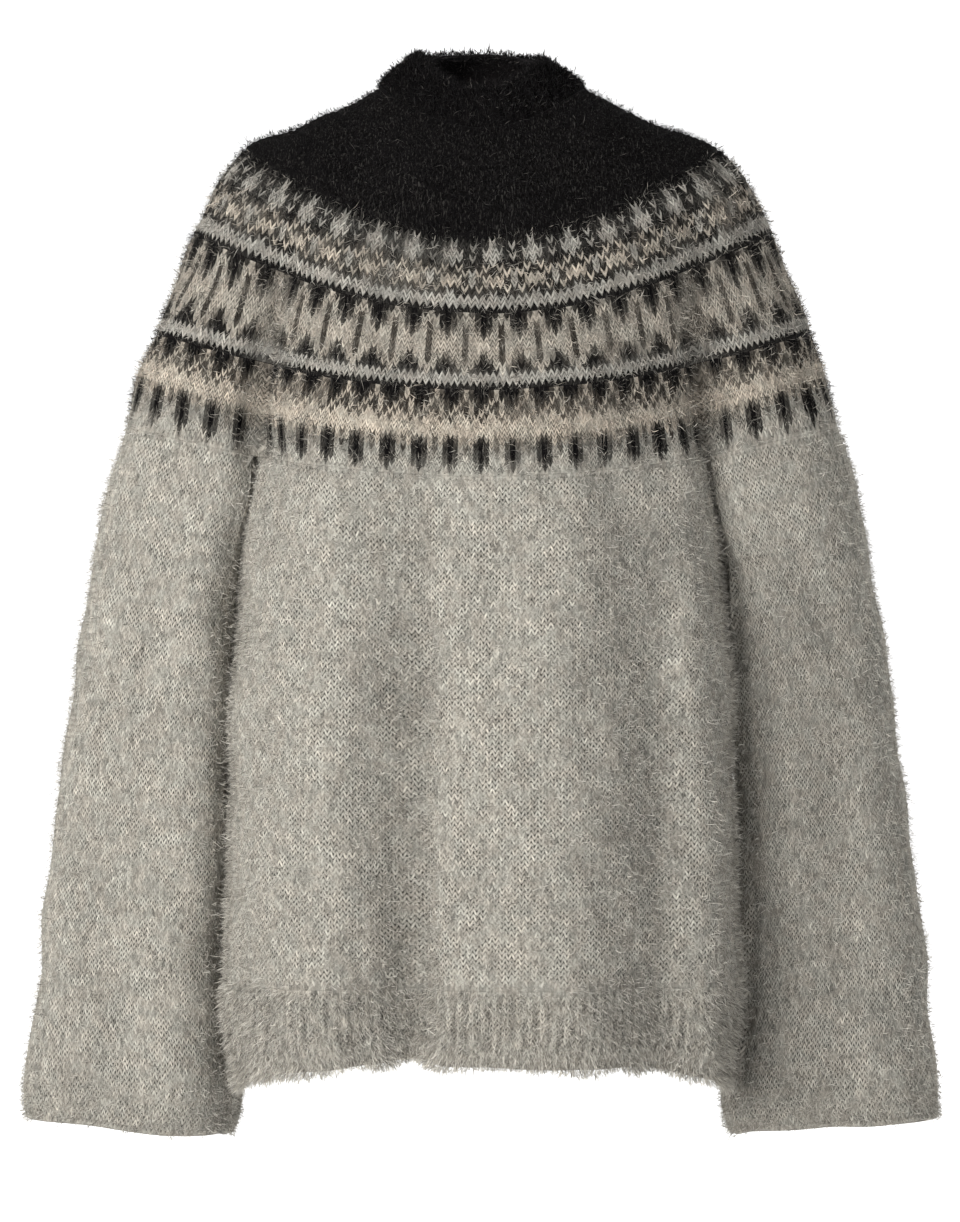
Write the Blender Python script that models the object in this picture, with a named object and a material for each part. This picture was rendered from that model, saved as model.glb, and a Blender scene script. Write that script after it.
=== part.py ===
"""Yoke sweater, filled out with no wearer in it, as thin closed walls of knit.

Metres, +Z up, front towards -Y, the wearer's left sleeve at +X. The origin is the point on the
wearer's neck that carries the garment: on the middle plane, level with the high point of the shoulder.

Every piece is a grid of outer points, worked out ring by ring. All the grids share their points
along the seams, so that one set of normals gives every wall its thickness. Each seam edge is then
drawn back by half a gap, so that neighbours lie close and don't touch.
"""

import math
from collections import namedtuple

import bpy
import numpy as np

# ---------------------------------------------------------------- driving dimensions

WALL = 0.0035             # knit and its nap
SEAM_GAP = 0.0003         # between two pieces at a seam
SLEEVE_CLEARANCE = 0.005  # between a sleeve and the body it hangs against
CLEARANCE_RUN = 0.030     # drop below the underarm over which that clearance opens

SLEEVE_COLUMNS = 18       # quads round a sleeve's outer side, where it meets the yoke
UNDERARM_COLUMNS = 6      # quads under the arm, from front to back
PANEL_COLUMNS = 24        # quads across the front or the back, between the underarms
YOKE_LEVELS = (0.0, 0.14, 0.26, 0.33, 0.40, 0.49, 0.60, 0.72, 0.86, 1.0)
BODY_LEVELS = (0.0, 0.06, 0.14, 0.26, 0.40, 0.55, 0.70, 0.85, 1.0)
SLEEVE_LEVELS = (0.0, 0.05, 0.11, 0.19, 0.28, 0.38, 0.48, 0.58, 0.68, 0.78, 0.88, 0.975, 1.0)
COLLAR_LEVELS = (0.0, 0.35, 0.70, 0.93, 1.0)
RIB_LEVELS = (0.0, 0.5, 1.0)

HEM_RIBS = 120            # all round
HEM_RIB_RELIEF = 0.0012
COLLAR_RIB_RELIEF = 0.0012

RING_SAMPLES = 720        # fine points on a ring before it is divided evenly
SHARP_ANGLE = 50          # degrees between two faces from which their edge is drawn sharp

# ---------------------------------------------------------------- rings of the yoke and collar

# share: how far down the yoke, 0 at the collar's foot and 1 at the underarm level.
# half_width and side_height place the ring over the arm; the reaches are its depth on the middle plane.
YokeRing = namedtuple("YokeRing",
                      "share half_width side_height front_reach front_height back_reach back_height")
YOKE_RINGS = (
    YokeRing(0.00, 0.076, 0.023, 0.064, -0.010, 0.078, 0.026),
    YokeRing(0.07, 0.097, 0.012, 0.074, -0.030, 0.087, 0.010),
    YokeRing(0.15, 0.124, -0.001, 0.083, -0.050, 0.095, -0.010),
    YokeRing(0.30, 0.176, -0.022, 0.097, -0.091, 0.106, -0.053),
    YokeRing(0.37, 0.193, -0.041, 0.104, -0.109, 0.111, -0.075),
    YokeRing(0.49, 0.209, -0.076, 0.112, -0.140, 0.115, -0.112),
    YokeRing(0.72, 0.240, -0.152, 0.119, -0.197, 0.117, -0.180),
    YokeRing(0.86, 0.253, -0.189, 0.120, -0.233, 0.115, -0.222),
    YokeRing(1.00, 0.263, -0.228, 0.119, -0.266, 0.112, -0.262),
)
RING_DIP = 2.2            # how sharply a ring drops from the arm to the middle of the chest
ARMPIT_START = 0.30       # share of the yoke at which the folds into the armpits begin

COLLAR_LEAN = 1.7         # over 1, so that the funnel is steep at its foot and leans in at its top
COLLAR_TOP = YokeRing(-1.0, 0.053, 0.049, 0.051, 0.017, 0.060, 0.056)

# ---------------------------------------------------------------- rings of the body

BodyRing = namedtuple("BodyRing", "height half_width front_reach back_reach")
BODY_RINGS = (
    BodyRing(-0.200, 0.168, 0.119, 0.113),
    BodyRing(-0.260, 0.172, 0.119, 0.112),
    BodyRing(-0.345, 0.178, 0.117, 0.106),
    BodyRing(-0.450, 0.183, 0.113, 0.102),
    BodyRing(-0.600, 0.187, 0.109, 0.105),
    BodyRing(-0.645, 0.188, 0.107, 0.105),
    BodyRing(-0.720, 0.181, 0.103, 0.100),
)
BODY_POWER = 2.4
RIB_TOP = -0.638          # where the body's plain knit turns into the hem's ribbing
HEM_FRONT = -0.694
HEM_SIDE = -0.714         # the hem hangs lower at the side seams
HEM_BACK = -0.700

# ---------------------------------------------------------------- rings of a sleeve

# height and centre of each ring, for the sleeve at +X; tilt is the ring's rise from its middle outwards
SleeveRing = namedtuple("SleeveRing", "share height centre_x centre_y half_width half_depth tilt")
SLEEVE_RINGS = (
    SleeveRing(0.00, -0.240, 0.211, 0.006, 0.052, 0.060, 0.22),
    SleeveRing(0.14, -0.310, 0.226, 0.014, 0.056, 0.062, 0.17),
    SleeveRing(0.38, -0.432, 0.243, 0.026, 0.062, 0.057, 0.11),
    SleeveRing(0.67, -0.577, 0.253, 0.034, 0.070, 0.051, 0.10),
    SleeveRing(0.84, -0.662, 0.257, 0.038, 0.077, 0.047, 0.09),
    SleeveRing(0.98, -0.738, 0.258, 0.040, 0.083, 0.044, 0.08),
    SleeveRing(1.00, -0.748, 0.258, 0.040, 0.081, 0.042, 0.08),
)
SEAM_BLEND = 0.22         # share of the sleeve over which the armhole's shape turns into the rings' own

# the armhole seam over the outer arm, between the two ends of the underarm
ARM_MIDDLE = 0.006        # its outermost point, front to back
ArmholePoint = namedtuple("ArmholePoint", "x y")
ARMHOLE_POINTS = (
    ArmholePoint(0.186, -0.055),
    ArmholePoint(0.226, -0.053),
    ArmholePoint(0.256, -0.030),
    ArmholePoint(0.263, ARM_MIDDLE),
    ArmholePoint(0.256, 0.040),
    ArmholePoint(0.226, 0.064),
    ArmholePoint(0.186, 0.067),
)
END_REACH = 4             # the higher, the closer to its two ends the seam's height is mended

# ---------------------------------------------------------------- folds

# place: share across the panel or round the tube; spread: half width in the same shares;
# depth at the top and at the foot of the piece, + for a ridge and - for a trough
Fold = namedtuple("Fold", "top_place foot_place spread top_depth foot_depth")
FOLD_GROWN = 0.62         # share of the way down at which a fold has its full depth
FRONT_FOLDS = (
    Fold(0.255, 0.250, 0.085, 0.003, 0.007),
    Fold(0.385, 0.395, 0.060, -0.003, -0.008),
    Fold(0.590, 0.600, 0.110, 0.002, 0.006),
    Fold(0.790, 0.805, 0.055, -0.003, -0.006),
    Fold(0.885, 0.890, 0.045, 0.001, 0.003),
)
BACK_FOLDS = (
    Fold(0.190, 0.200, 0.060, 0.001, 0.004),
    Fold(0.330, 0.320, 0.065, -0.003, -0.006),
    Fold(0.480, 0.470, 0.100, 0.002, 0.006),
    Fold(0.650, 0.665, 0.060, -0.003, -0.007),
    Fold(0.770, 0.775, 0.070, 0.002, 0.005),
)
SLEEVE_FOLDS = (
    Fold(0.130, 0.100, 0.060, -0.002, -0.004),
    Fold(0.260, 0.240, 0.070, 0.001, 0.004),
    Fold(0.500, 0.520, 0.060, -0.001, -0.005),
    Fold(0.640, 0.620, 0.050, 0.001, 0.003),
)

# ---------------------------------------------------------------- materials

Finish = namedtuple("Finish", "colour roughness")
FINISHES = {
    "black_wool": Finish((0.018, 0.017, 0.018), 0.95),
    "yoke_wool": Finish((0.070, 0.064, 0.060), 0.95),
    "grey_wool": Finish((0.410, 0.385, 0.345), 0.95),
    "grey_rib": Finish((0.380, 0.360, 0.325), 0.95),
}


# ---------------------------------------------------------------- small tools

def smooth(share):
    """0 to 1 with no slope at either end."""
    share = np.clip(share, 0.0, 1.0)
    return share * share * (3.0 - 2.0 * share)


def read_rings(rings, key, wanted):
    """A ring for each wanted value of the key column, on smooth curves through the table's rings."""
    table = np.array(sorted(rings, key=lambda ring: getattr(ring, key)))
    keys = table[:, rings[0]._fields.index(key)]
    slopes = np.gradient(table, keys, axis=0)
    wanted = np.clip(wanted, keys[0], keys[-1])
    row = np.clip(np.searchsorted(keys, wanted) - 1, 0, len(keys) - 2)
    step = (keys[row + 1] - keys[row])[..., None]
    t = (wanted - keys[row])[..., None] / step
    values = ((1 + 2 * t) * (1 - t) ** 2 * table[row] + t * (1 - t) ** 2 * step * slopes[row]
              + t * t * (3 - 2 * t) * table[row + 1] - t * t * (1 - t) * step * slopes[row + 1])
    return type(rings[0])(*np.moveaxis(values, -1, 0))


def share_along(points, shares):
    """Points at the given shares of an open line's length."""
    lengths = np.linalg.norm(np.diff(points, axis=0), axis=1)
    travelled = np.concatenate([[0.0], np.cumsum(lengths)])
    travelled /= travelled[-1]
    return np.stack([np.interp(shares, travelled, points[:, axis]) for axis in range(3)], axis=1)


def share_round(points, shares):
    """Points at the given shares of a closed ring's length, whose first point isn't repeated."""
    closed = np.vstack([points, points[:1]])
    return share_along(closed, np.mod(shares, 1.0))


def curve_through(points, per_span=24):
    """A smooth open line through the given points."""
    points = np.asarray(points, dtype=float)
    padded = np.vstack([2 * points[0] - points[1], points, 2 * points[-1] - points[-2]])
    line = []
    for i in range(1, len(padded) - 2):
        before, start, end, after = padded[i - 1:i + 3]
        for t in np.linspace(0.0, 1.0, per_span, endpoint=False):
            line.append(0.5 * (2 * start + (end - before) * t
                               + (2 * before - 5 * start + 4 * end - after) * t ** 2
                               + (3 * start - before - 3 * end + after) * t ** 3))
    line.append(points[-1])
    return np.array(line)


def power_of(value, power):
    """A sine or cosine raised to 2/power with its sign kept, for a superellipse."""
    return np.sign(value) * np.abs(value) ** (2.0 / power)


def mirrored(points):
    """The same points on the other side of the middle plane."""
    return points * np.array([-1.0, 1.0, 1.0])


def fold_relief(folds, places, down):
    """How far each point of a ring stands out; down runs from 0 to 1 along the piece."""
    relief = np.zeros_like(places)
    for fold in folds:
        middle = fold.top_place + (fold.foot_place - fold.top_place) * down
        depth = fold.top_depth + (fold.foot_depth - fold.top_depth) * smooth(down / FOLD_GROWN)
        relief += depth * np.exp(-((places - middle) / fold.spread) ** 2)
    return relief


def plan_normals(ring):
    """Outward directions in plan of a closed ring that runs anticlockwise seen from above."""
    ahead = np.roll(ring, -1, axis=0) - np.roll(ring, 1, axis=0)
    outward = np.stack([ahead[:, 1], -ahead[:, 0], np.zeros(len(ring))], axis=1)
    return outward / np.linalg.norm(outward, axis=1, keepdims=True)


# ---------------------------------------------------------------- yoke and collar rings

def yoke_ring_height(ring, across, behind):
    """Height on a yoke ring, where across is the distance from the middle plane over the half width."""
    dip = np.clip(1.0 - across ** 2, 0.0, 1.0) ** (RING_DIP / 2.0)
    middle = np.where(behind, ring.back_height, ring.front_height)
    return ring.side_height + (middle - ring.side_height) * dip


def oval_ring(ring):
    """A collar or yoke ring, from the middle of the front round by +X."""
    angle = np.linspace(0.0, 2 * math.pi, RING_SAMPLES, endpoint=False)
    behind = np.cos(angle) < 0.0
    reach = np.where(behind, ring.back_reach, ring.front_reach)
    x = ring.half_width * np.sin(angle)
    y = -reach * np.cos(angle)
    return np.stack([x, y, yoke_ring_height(ring, np.sin(angle), behind)], axis=1)


def body_ring(level):
    """A body ring at one share of the way from the underarm level to the rib, or past 1 to the hem.

    It runs from the side seam at -X across the front to +X, and back across the back.
    """
    angle = np.linspace(-math.pi / 2, 1.5 * math.pi, RING_SAMPLES, endpoint=False)
    behind = np.cos(angle) < 0.0
    top = read_rings(YOKE_RINGS, "share", 1.0)
    underarm = read_rings(BODY_RINGS, "height", top.side_height)
    across = underarm.half_width * power_of(np.sin(angle), BODY_POWER) / top.half_width
    top_height = yoke_ring_height(top, across, behind)
    hem_middle = np.where(behind, HEM_BACK, HEM_FRONT)
    hem_height = HEM_SIDE + (hem_middle - HEM_SIDE) * np.abs(np.cos(angle))
    if level <= 1.0:
        height = top_height + (RIB_TOP - top_height) * level
    else:
        height = RIB_TOP + (hem_height - RIB_TOP) * (level - 1.0)

    size = read_rings(BODY_RINGS, "height", height)
    reach = np.where(behind, size.back_reach, size.front_reach)
    ring = np.stack([size.half_width * power_of(np.sin(angle), BODY_POWER),
                     -reach * power_of(np.cos(angle), BODY_POWER), height], axis=1)

    halfway = RING_SAMPLES // 2
    relief = []
    for part, folds in ((ring[:halfway], FRONT_FOLDS), (ring[halfway:], BACK_FOLDS)):
        travelled = np.cumsum(np.linalg.norm(np.diff(part, axis=0, prepend=part[:1]), axis=1))
        relief.append(fold_relief(folds, travelled / travelled[-1], min(level, 1.0)))
    return ring + plan_normals(ring) * np.concatenate(relief)[:, None]


def panel_row(level, columns):
    """A body ring divided evenly, the front and then the back, each with the given columns."""
    ring = body_ring(level)
    halfway = RING_SAMPLES // 2
    front = share_along(ring[:halfway + 1], np.linspace(0.0, 1.0, columns + 1))
    back = share_along(np.vstack([ring[halfway:], ring[:1]]), np.linspace(0.0, 1.0, columns + 1))
    return front, back


# ---------------------------------------------------------------- the grids of outer points

HALF_UNDERARM = UNDERARM_COLUMNS // 2
PANEL_SPAN = PANEL_COLUMNS + UNDERARM_COLUMNS
YOKE_SPAN = 2 * (PANEL_COLUMNS + SLEEVE_COLUMNS)


def body_top(side):
    """The top row of the front and of the back, on a garment mirrored where side is -1."""
    front, back = panel_row(0.0, PANEL_SPAN)
    if side < 0:
        front, back = mirrored(front)[::-1], mirrored(back)[::-1]
    return front, back


def armhole_seam(side):
    """The seam of yoke and sleeve at +X, over the arm from the front of the underarm to its back."""
    front, back = body_top(side)
    front_end, back_end = front[-1 - HALF_UNDERARM], back[HALF_UNDERARM]
    top = read_rings(YOKE_RINGS, "share", 1.0)
    plan = curve_through([front_end[:2], *ARMHOLE_POINTS, back_end[:2]])
    height = yoke_ring_height(top, plan[:, 0] / top.half_width, plan[:, 1] > ARM_MIDDLE)
    # the two ends take the heights that the body gives them
    along = np.linspace(0.0, 1.0, len(plan))
    height += ((front_end[2] - height[0]) * (1 - along) ** END_REACH
               + (back_end[2] - height[-1]) * along ** END_REACH)
    return share_along(np.column_stack([plan, height]), np.linspace(0.0, 1.0, SLEEVE_COLUMNS + 1))


def seam_ring():
    """The yoke's lower edge: half the front, one armhole, the back, the other armhole, half the front."""
    front, back = body_top(1)
    front_arc = front[HALF_UNDERARM:-HALF_UNDERARM]
    back_arc = back[HALF_UNDERARM:-HALF_UNDERARM]
    middle = PANEL_COLUMNS // 2
    return np.vstack([front_arc[middle:-1], armhole_seam(1)[:-1], back_arc[:-1],
                      mirrored(armhole_seam(-1))[:0:-1], front_arc[:middle]])


def yoke_grid():
    shares = np.arange(YOKE_SPAN) / YOKE_SPAN
    foot = seam_ring()
    last_oval = share_round(oval_ring(read_rings(YOKE_RINGS, "share", 1.0)), shares)
    rows = []
    for level in YOKE_LEVELS:
        oval = share_round(oval_ring(read_rings(YOKE_RINGS, "share", level)), shares)
        weight = smooth((level - ARMPIT_START) / (1.0 - ARMPIT_START))
        rows.append(oval + (foot - last_oval) * weight)
    return np.array(rows)


def collar_grid():
    shares = np.arange(YOKE_SPAN) / YOKE_SPAN
    foot = share_round(oval_ring(YOKE_RINGS[0]), shares)
    top = share_round(oval_ring(COLLAR_TOP), shares)
    rows = []
    for level in COLLAR_LEVELS:
        inward = level ** COLLAR_LEAN
        row = foot + (top - foot) * np.array([inward, inward, level])
        rows.append(row)
    return np.array(rows)[::-1]


def body_grids():
    rows = [panel_row(level, PANEL_SPAN) for level in BODY_LEVELS]
    return np.array([row[0] for row in rows]), np.array([row[1] for row in rows])


def rib_grids():
    rows = [panel_row(1.0 + level, HEM_RIBS) for level in RIB_LEVELS]
    return np.array([row[0] for row in rows]), np.array([row[1] for row in rows])


def sleeve_oval(level):
    """A sleeve ring at +X, from its outermost point round by the back."""
    ring = read_rings(SLEEVE_RINGS, "share", level)
    angle = np.linspace(0.0, 2 * math.pi, RING_SAMPLES, endpoint=False)
    out = ring.half_width * np.cos(angle)
    oval = np.stack([ring.centre_x + out, ring.centre_y + ring.half_depth * np.sin(angle),
                     ring.height + ring.tilt * out], axis=1)
    places = np.arange(RING_SAMPLES) / RING_SAMPLES
    return oval + plan_normals(oval) * fold_relief(SLEEVE_FOLDS, places, level)[:, None]


def clear_of_body(points, underarm_height):
    """Sleeve points moved out of the body's side and off it by the clearance."""
    x, y, z = points.T
    size = read_rings(BODY_RINGS, "height", z)
    margin = SLEEVE_CLEARANCE * smooth((underarm_height - z) / CLEARANCE_RUN)
    reach = np.where(y > 0.0, size.back_reach, size.front_reach) + margin
    within = (np.abs(x / (size.half_width + margin)) ** BODY_POWER
              + np.abs(y / reach) ** BODY_POWER) ** (1.0 / BODY_POWER)
    push = 1.0 / np.minimum(within, 1.0)
    return points * np.stack([push, push, np.ones(len(points))], axis=1)


def sleeve_grid(side):
    """One sleeve: its columns run over the outer arm from front to back, then under the arm."""
    front, back = body_top(side)
    underarm = np.vstack([front[-1 - HALF_UNDERARM:-1], back[:HALF_UNDERARM + 1]])[::-1]
    seam = np.vstack([armhole_seam(side)[:-1], underarm[:-1]])
    columns = SLEEVE_COLUMNS + UNDERARM_COLUMNS
    shares = (np.arange(columns) - SLEEVE_COLUMNS / 2) / columns
    first_oval = share_round(sleeve_oval(0.0), shares)
    rows = [seam]
    for level in SLEEVE_LEVELS[1:]:
        oval = share_round(sleeve_oval(level), shares)
        row = oval + (seam - first_oval) * (1.0 - smooth(level / SEAM_BLEND))
        rows.append(clear_of_body(row, underarm[:, 2].min()))
    grid = np.array(rows)
    return grid if side > 0 else mirrored(grid)[:, ::-1]


# ---------------------------------------------------------------- walls

def faces_of(rows, columns, closed, flip):
    """Index quads of a grid whose point numbers run row by row."""
    faces = []
    for row in range(rows - 1):
        for column in range(columns if closed else columns - 1):
            beside = (column + 1) % columns
            face = (row * columns + column, (row + 1) * columns + column,
                    (row + 1) * columns + beside, row * columns + beside)
            faces.append(face[::-1] if flip else face)
    return faces


def key_of(point):
    return tuple(np.round(point, 6))


def shared_normals(grids):
    """One outward normal for each point, summed over every grid that has the point."""
    sums = {}
    for grid, closed in grids:
        rows, columns = grid.shape[:2]
        points = grid.reshape(-1, 3)
        for face in faces_of(rows, columns, closed, False):
            corners = points[list(face)]
            normal = np.cross(corners[2] - corners[0], corners[3] - corners[1])
            for corner in corners:
                sums[key_of(corner)] = sums.get(key_of(corner), 0.0) + normal
    return {key: total / np.linalg.norm(total) for key, total in sums.items()}


def point_into_underarms(normals, sleeve, panels):
    """Under the arm the outside is the gap between sleeve and body, so the normals point down into it."""
    below = {key_of(first): second for panel in panels for first, second in zip(panel[0], panel[1])}
    edge = {key_of(end) for panel in panels for end in (panel[0, HALF_UNDERARM],
                                                         panel[0, -1 - HALF_UNDERARM])}
    for first, second in zip(sleeve[0], sleeve[1]):
        key = key_of(first)
        if key in below and key not in edge:
            down_sleeve, down_body = second - first, below[key] - first
            into_gap = (down_sleeve / np.linalg.norm(down_sleeve)
                        + down_body / np.linalg.norm(down_body))
            normals[key] = into_gap / np.linalg.norm(into_gap)


def drawn_back(edge, inside, normals):
    """The move along the cloth that takes a seam edge back from its neighbour by half the gap."""
    inward = inside - edge
    inward -= normals * np.sum(inward * normals, axis=1, keepdims=True)
    return inward / np.linalg.norm(inward, axis=1, keepdims=True) * SEAM_GAP / 2


def make_wall(name, outer, normals, closed, finish, relief=None):
    """A closed wall: the outer grid, the same grid moved in by the wall's thickness, and its edges."""
    rows, columns = outer.shape[:2]
    moves = np.zeros_like(outer)
    moves[0] += drawn_back(outer[0], outer[1], normals[0])
    moves[-1] += drawn_back(outer[-1], outer[-2], normals[-1])
    if not closed:
        moves[:, 0] += drawn_back(outer[:, 0], outer[:, 1], normals[:, 0])
        moves[:, -1] += drawn_back(outer[:, -1], outer[:, -2], normals[:, -1])
    inner_points = (outer + moves - normals * WALL).reshape(-1, 3)
    raised = normals * relief[..., None] if relief is not None else 0.0
    outer_points = (outer + moves + raised).reshape(-1, 3)

    count = rows * columns
    faces = faces_of(rows, columns, closed, False)
    faces += [tuple(i + count for i in face) for face in faces_of(rows, columns, closed, True)]
    for row, flip in ((0, False), (rows - 1, True)):
        for column in range(columns if closed else columns - 1):
            first = row * columns + column
            second = row * columns + (column + 1) % columns
            face = (first, second, second + count, first + count)
            faces.append(face[::-1] if flip else face)
    if not closed:
        for column, flip in ((0, True), (columns - 1, False)):
            for row in range(rows - 1):
                first = row * columns + column
                second = first + columns
                face = (first, second, second + count, first + count)
                faces.append(face[::-1] if flip else face)

    mesh = bpy.data.meshes.new(name)
    mesh.from_pydata(np.vstack([outer_points, inner_points]).tolist(), [], faces)
    mesh.materials.append(bpy.data.materials[finish])
    mesh.validate()
    mesh.shade_smooth()
    mesh.set_sharp_from_angle(angle=math.radians(SHARP_ANGLE))
    piece = bpy.data.objects.new(name, mesh)
    bpy.context.scene.collection.objects.link(piece)
    return piece


def ribs(grid, relief):
    """Every other column of a grid stands out."""
    rows, columns = grid.shape[:2]
    return np.tile(np.where(np.arange(columns) % 2 == 0, 0.5, -0.5) * relief, (rows, 1))


# ---------------------------------------------------------------- the garment

def make_finish(name, finish):
    material = bpy.data.materials.new(name)
    material.use_nodes = True
    shader = material.node_tree.nodes["Principled BSDF"]
    shader.inputs["Base Color"].default_value = (*finish.colour, 1.0)
    shader.inputs["Roughness"].default_value = finish.roughness
    shader.inputs["Metallic"].default_value = 0.0
    material.diffuse_color = (*finish.colour, 1.0)


def build():
    for existing in list(bpy.data.objects):
        bpy.data.objects.remove(existing)
    for name, finish in FINISHES.items():
        make_finish(name, finish)

    front, back = body_grids()
    rib_front, rib_back = rib_grids()
    pieces = {
        "collar": (collar_grid(), True, "black_wool", COLLAR_RIB_RELIEF),
        "yoke": (yoke_grid(), True, "yoke_wool", None),
        "body_front": (front, False, "grey_wool", None),
        "body_back": (back, False, "grey_wool", None),
        "hem_rib_front": (rib_front, False, "grey_rib", HEM_RIB_RELIEF),
        "hem_rib_back": (rib_back, False, "grey_rib", HEM_RIB_RELIEF),
        "sleeve_left": (sleeve_grid(1), True, "grey_wool", None),
        "sleeve_right": (sleeve_grid(-1), True, "grey_wool", None),
    }
    normals = shared_normals([(grid, closed) for grid, closed, _, _ in pieces.values()])
    for name in ("sleeve_left", "sleeve_right"):
        point_into_underarms(normals, pieces[name][0], (front, back))
    for name, (grid, closed, finish, relief) in pieces.items():
        at_points = np.array([normals[key_of(point)] for point in grid.reshape(-1, 3)])
        make_wall(name, grid, at_points.reshape(grid.shape), closed, finish,
                  ribs(grid, relief) if relief else None)


build()
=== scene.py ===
import math

import bpy
import numpy as np
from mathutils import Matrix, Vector


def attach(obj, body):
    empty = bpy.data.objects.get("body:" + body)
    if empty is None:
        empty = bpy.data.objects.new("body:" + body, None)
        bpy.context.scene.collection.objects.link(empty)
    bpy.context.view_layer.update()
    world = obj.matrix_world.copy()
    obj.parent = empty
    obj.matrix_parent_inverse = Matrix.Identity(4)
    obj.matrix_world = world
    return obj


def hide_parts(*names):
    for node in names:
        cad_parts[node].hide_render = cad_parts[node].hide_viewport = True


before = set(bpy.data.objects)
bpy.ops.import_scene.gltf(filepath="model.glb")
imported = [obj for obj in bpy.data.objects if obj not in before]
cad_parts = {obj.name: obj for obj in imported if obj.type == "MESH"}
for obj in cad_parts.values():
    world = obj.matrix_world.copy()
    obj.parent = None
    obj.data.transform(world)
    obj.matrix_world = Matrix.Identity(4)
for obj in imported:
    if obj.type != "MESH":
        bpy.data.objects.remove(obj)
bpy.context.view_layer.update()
rng = np.random.default_rng(1907)
print("frame loaded with", len(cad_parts), "knitted pieces")

cloth = {
    "thickness": 0.0028,     # from the mean outer face to the plain inside
    "rim": 0.0014,           # how far a turned edge is rounded past its last row
    "stitchDip": 0.0005,     # how far the corners of a stitch lie in
    "stitchRise": 0.0006,    # how far its two legs stand out
    "jitter": 0.3,           # and how unevenly
    "slant": 0.46,           # share of a row by which the arms of a V rise and its foot drops
    "ribMiddle": 0.7,        # share of a rib's relief that the middles of its legs follow
    "ribFade": 1.5,          # rows over which ribs begin and end where they join plain knitting
    "bandGap": 0.06,         # share of a row left between two stitch counts, for the joining strip
    "seamGap": 0.00002,
    "sideCover": (0.43, 0.07),   # where from a panel's middle the nap starts to hide stitches, and its run
    "fine": 8,               # measured columns to each column of the plain solids
    "underarm": 6,           # columns of the plain solids under one arm, over it, and across a panel
    "overArm": 18,
    "panel": 24,
    "ringSamples": 1440,
    "foldGrown": 0.62,       # share of the way down at which a fold has its full depth
}

# linear colours of the spun yarns, by their sign in the charts
yarns = {
    "k": (0.0044, 0.0040, 0.0042),   # black
    "n": (0.018, 0.014, 0.011),      # dark brown
    "m": (0.12, 0.11, 0.095),        # black with light hairs carded in
    "g": (0.440, 0.420, 0.380),      # pale grey
    "b": (0.555, 0.495, 0.416),      # beige
    "L": (0.47, 0.43, 0.37),         # beige and grey twisted
    "h": (0.475, 0.453, 0.403),      # grey heather
}

haze = {
    "dark": (0.05, 0.24),    # least and most share of its neighbours' fibres over a dark stitch
    "light": (0.09, 0.46),   # and over a light one
    "darkUnder": 0.2,        # a yarn whose three colours add up to less than this is dark
    "veil": 0.26,            # more of them in patches of three stitches by three rows
    "wear": 0.30,            # and down whole repeats of a pattern
    "plainRow": 0.25,        # what is left of them along a row of one dark yarn
    "most": 0.9,
    "fold": {"at": 0.106, "wide": 0.013, "most": 0.95, "shade": 0.22},   # shares round, from mid arm; shade is how far painted shade darkens the bands in the armpit folds
    "tone": 0.16,            # how much the legs of stitches differ in tone
    "stitchTone": 0.6,       # and whole stitches, as a share of it
    "toneRange": (0.4, 1.4),
    "troughPaintedShade": 18.0,      # painted shade darkens the legs in a trough, for each metre of its depth
    "troughPaintedShadeMost": 0.26,
    "ridgePaintedLightMost": 0.06,       # and painted light brightens them on a ridge
    "edgeTone": 0.92,        # first and last row of a band
    "joinTone": 0.86,        # strips between bands, and the plain inside
    "joinCover": 0.9,        # how far the nap hides them, and the side edges of a panel
    "sideCover": 0.6,
    "insidePaintedLight": (7.0, 6.0), # how far painted light brightens the black wool of the collar's inside, at the foot and at the top
}


def smooth(share):  # 0 to 1 with no slope at either end
    share = np.clip(share, 0.0, 1.0)
    return share * share * (3.0 - 2.0 * share)


def readRings(rings, key, wanted):  # every column of a table on smooth curves, at the wanted keys
    order = np.argsort(rings[key])
    keys = np.asarray(rings[key], float)[order]
    wanted = np.clip(wanted, keys[0], keys[-1])
    row = np.clip(np.searchsorted(keys, wanted) - 1, 0, len(keys) - 2)
    step = keys[row + 1] - keys[row]
    t = (wanted - keys[row]) / step
    found = {}
    for name, values in rings.items():
        column = np.asarray(values, float)[order]
        slope = np.gradient(column, keys)
        found[name] = ((1 + 2 * t) * (1 - t) ** 2 * column[row] + t * (1 - t) ** 2 * step * slope[row]
                       + t * t * (3 - 2 * t) * column[row + 1]
                       - t * t * (1 - t) * step * slope[row + 1])
    return found


def shareAlong(points, shares):  # points at shares of an open line's length
    lengths = np.linalg.norm(np.diff(points, axis=0), axis=1)
    travelled = np.concatenate([[0.0], np.cumsum(lengths)])
    travelled /= travelled[-1]
    return np.stack([np.interp(shares, travelled, points[:, axis]) for axis in range(3)], axis=1)


def shareRound(points, shares):  # the same on a closed ring
    return shareAlong(np.vstack([points, points[:1]]), np.mod(shares, 1.0))


def curveThrough(points, perSpan=48):
    points = np.asarray(points, float)
    padded = np.vstack([2 * points[0] - points[1], points, 2 * points[-1] - points[-2]])
    line = []
    for i in range(1, len(padded) - 2):
        before, start, end, after = padded[i - 1:i + 3]
        for t in np.linspace(0.0, 1.0, perSpan, endpoint=False):
            line.append(0.5 * (2 * start + (end - before) * t
                               + (2 * before - 5 * start + 4 * end - after) * t ** 2
                               + (3 * start - before - 3 * end + after) * t ** 3))
    line.append(points[-1])
    return np.array(line)


def powerOf(value, power):  # a sine or cosine with the roundness of a superellipse
    return np.sign(value) * np.abs(value) ** (2.0 / power)


def mirrored(points):
    return points * np.array([-1.0, 1.0, 1.0])


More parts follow.
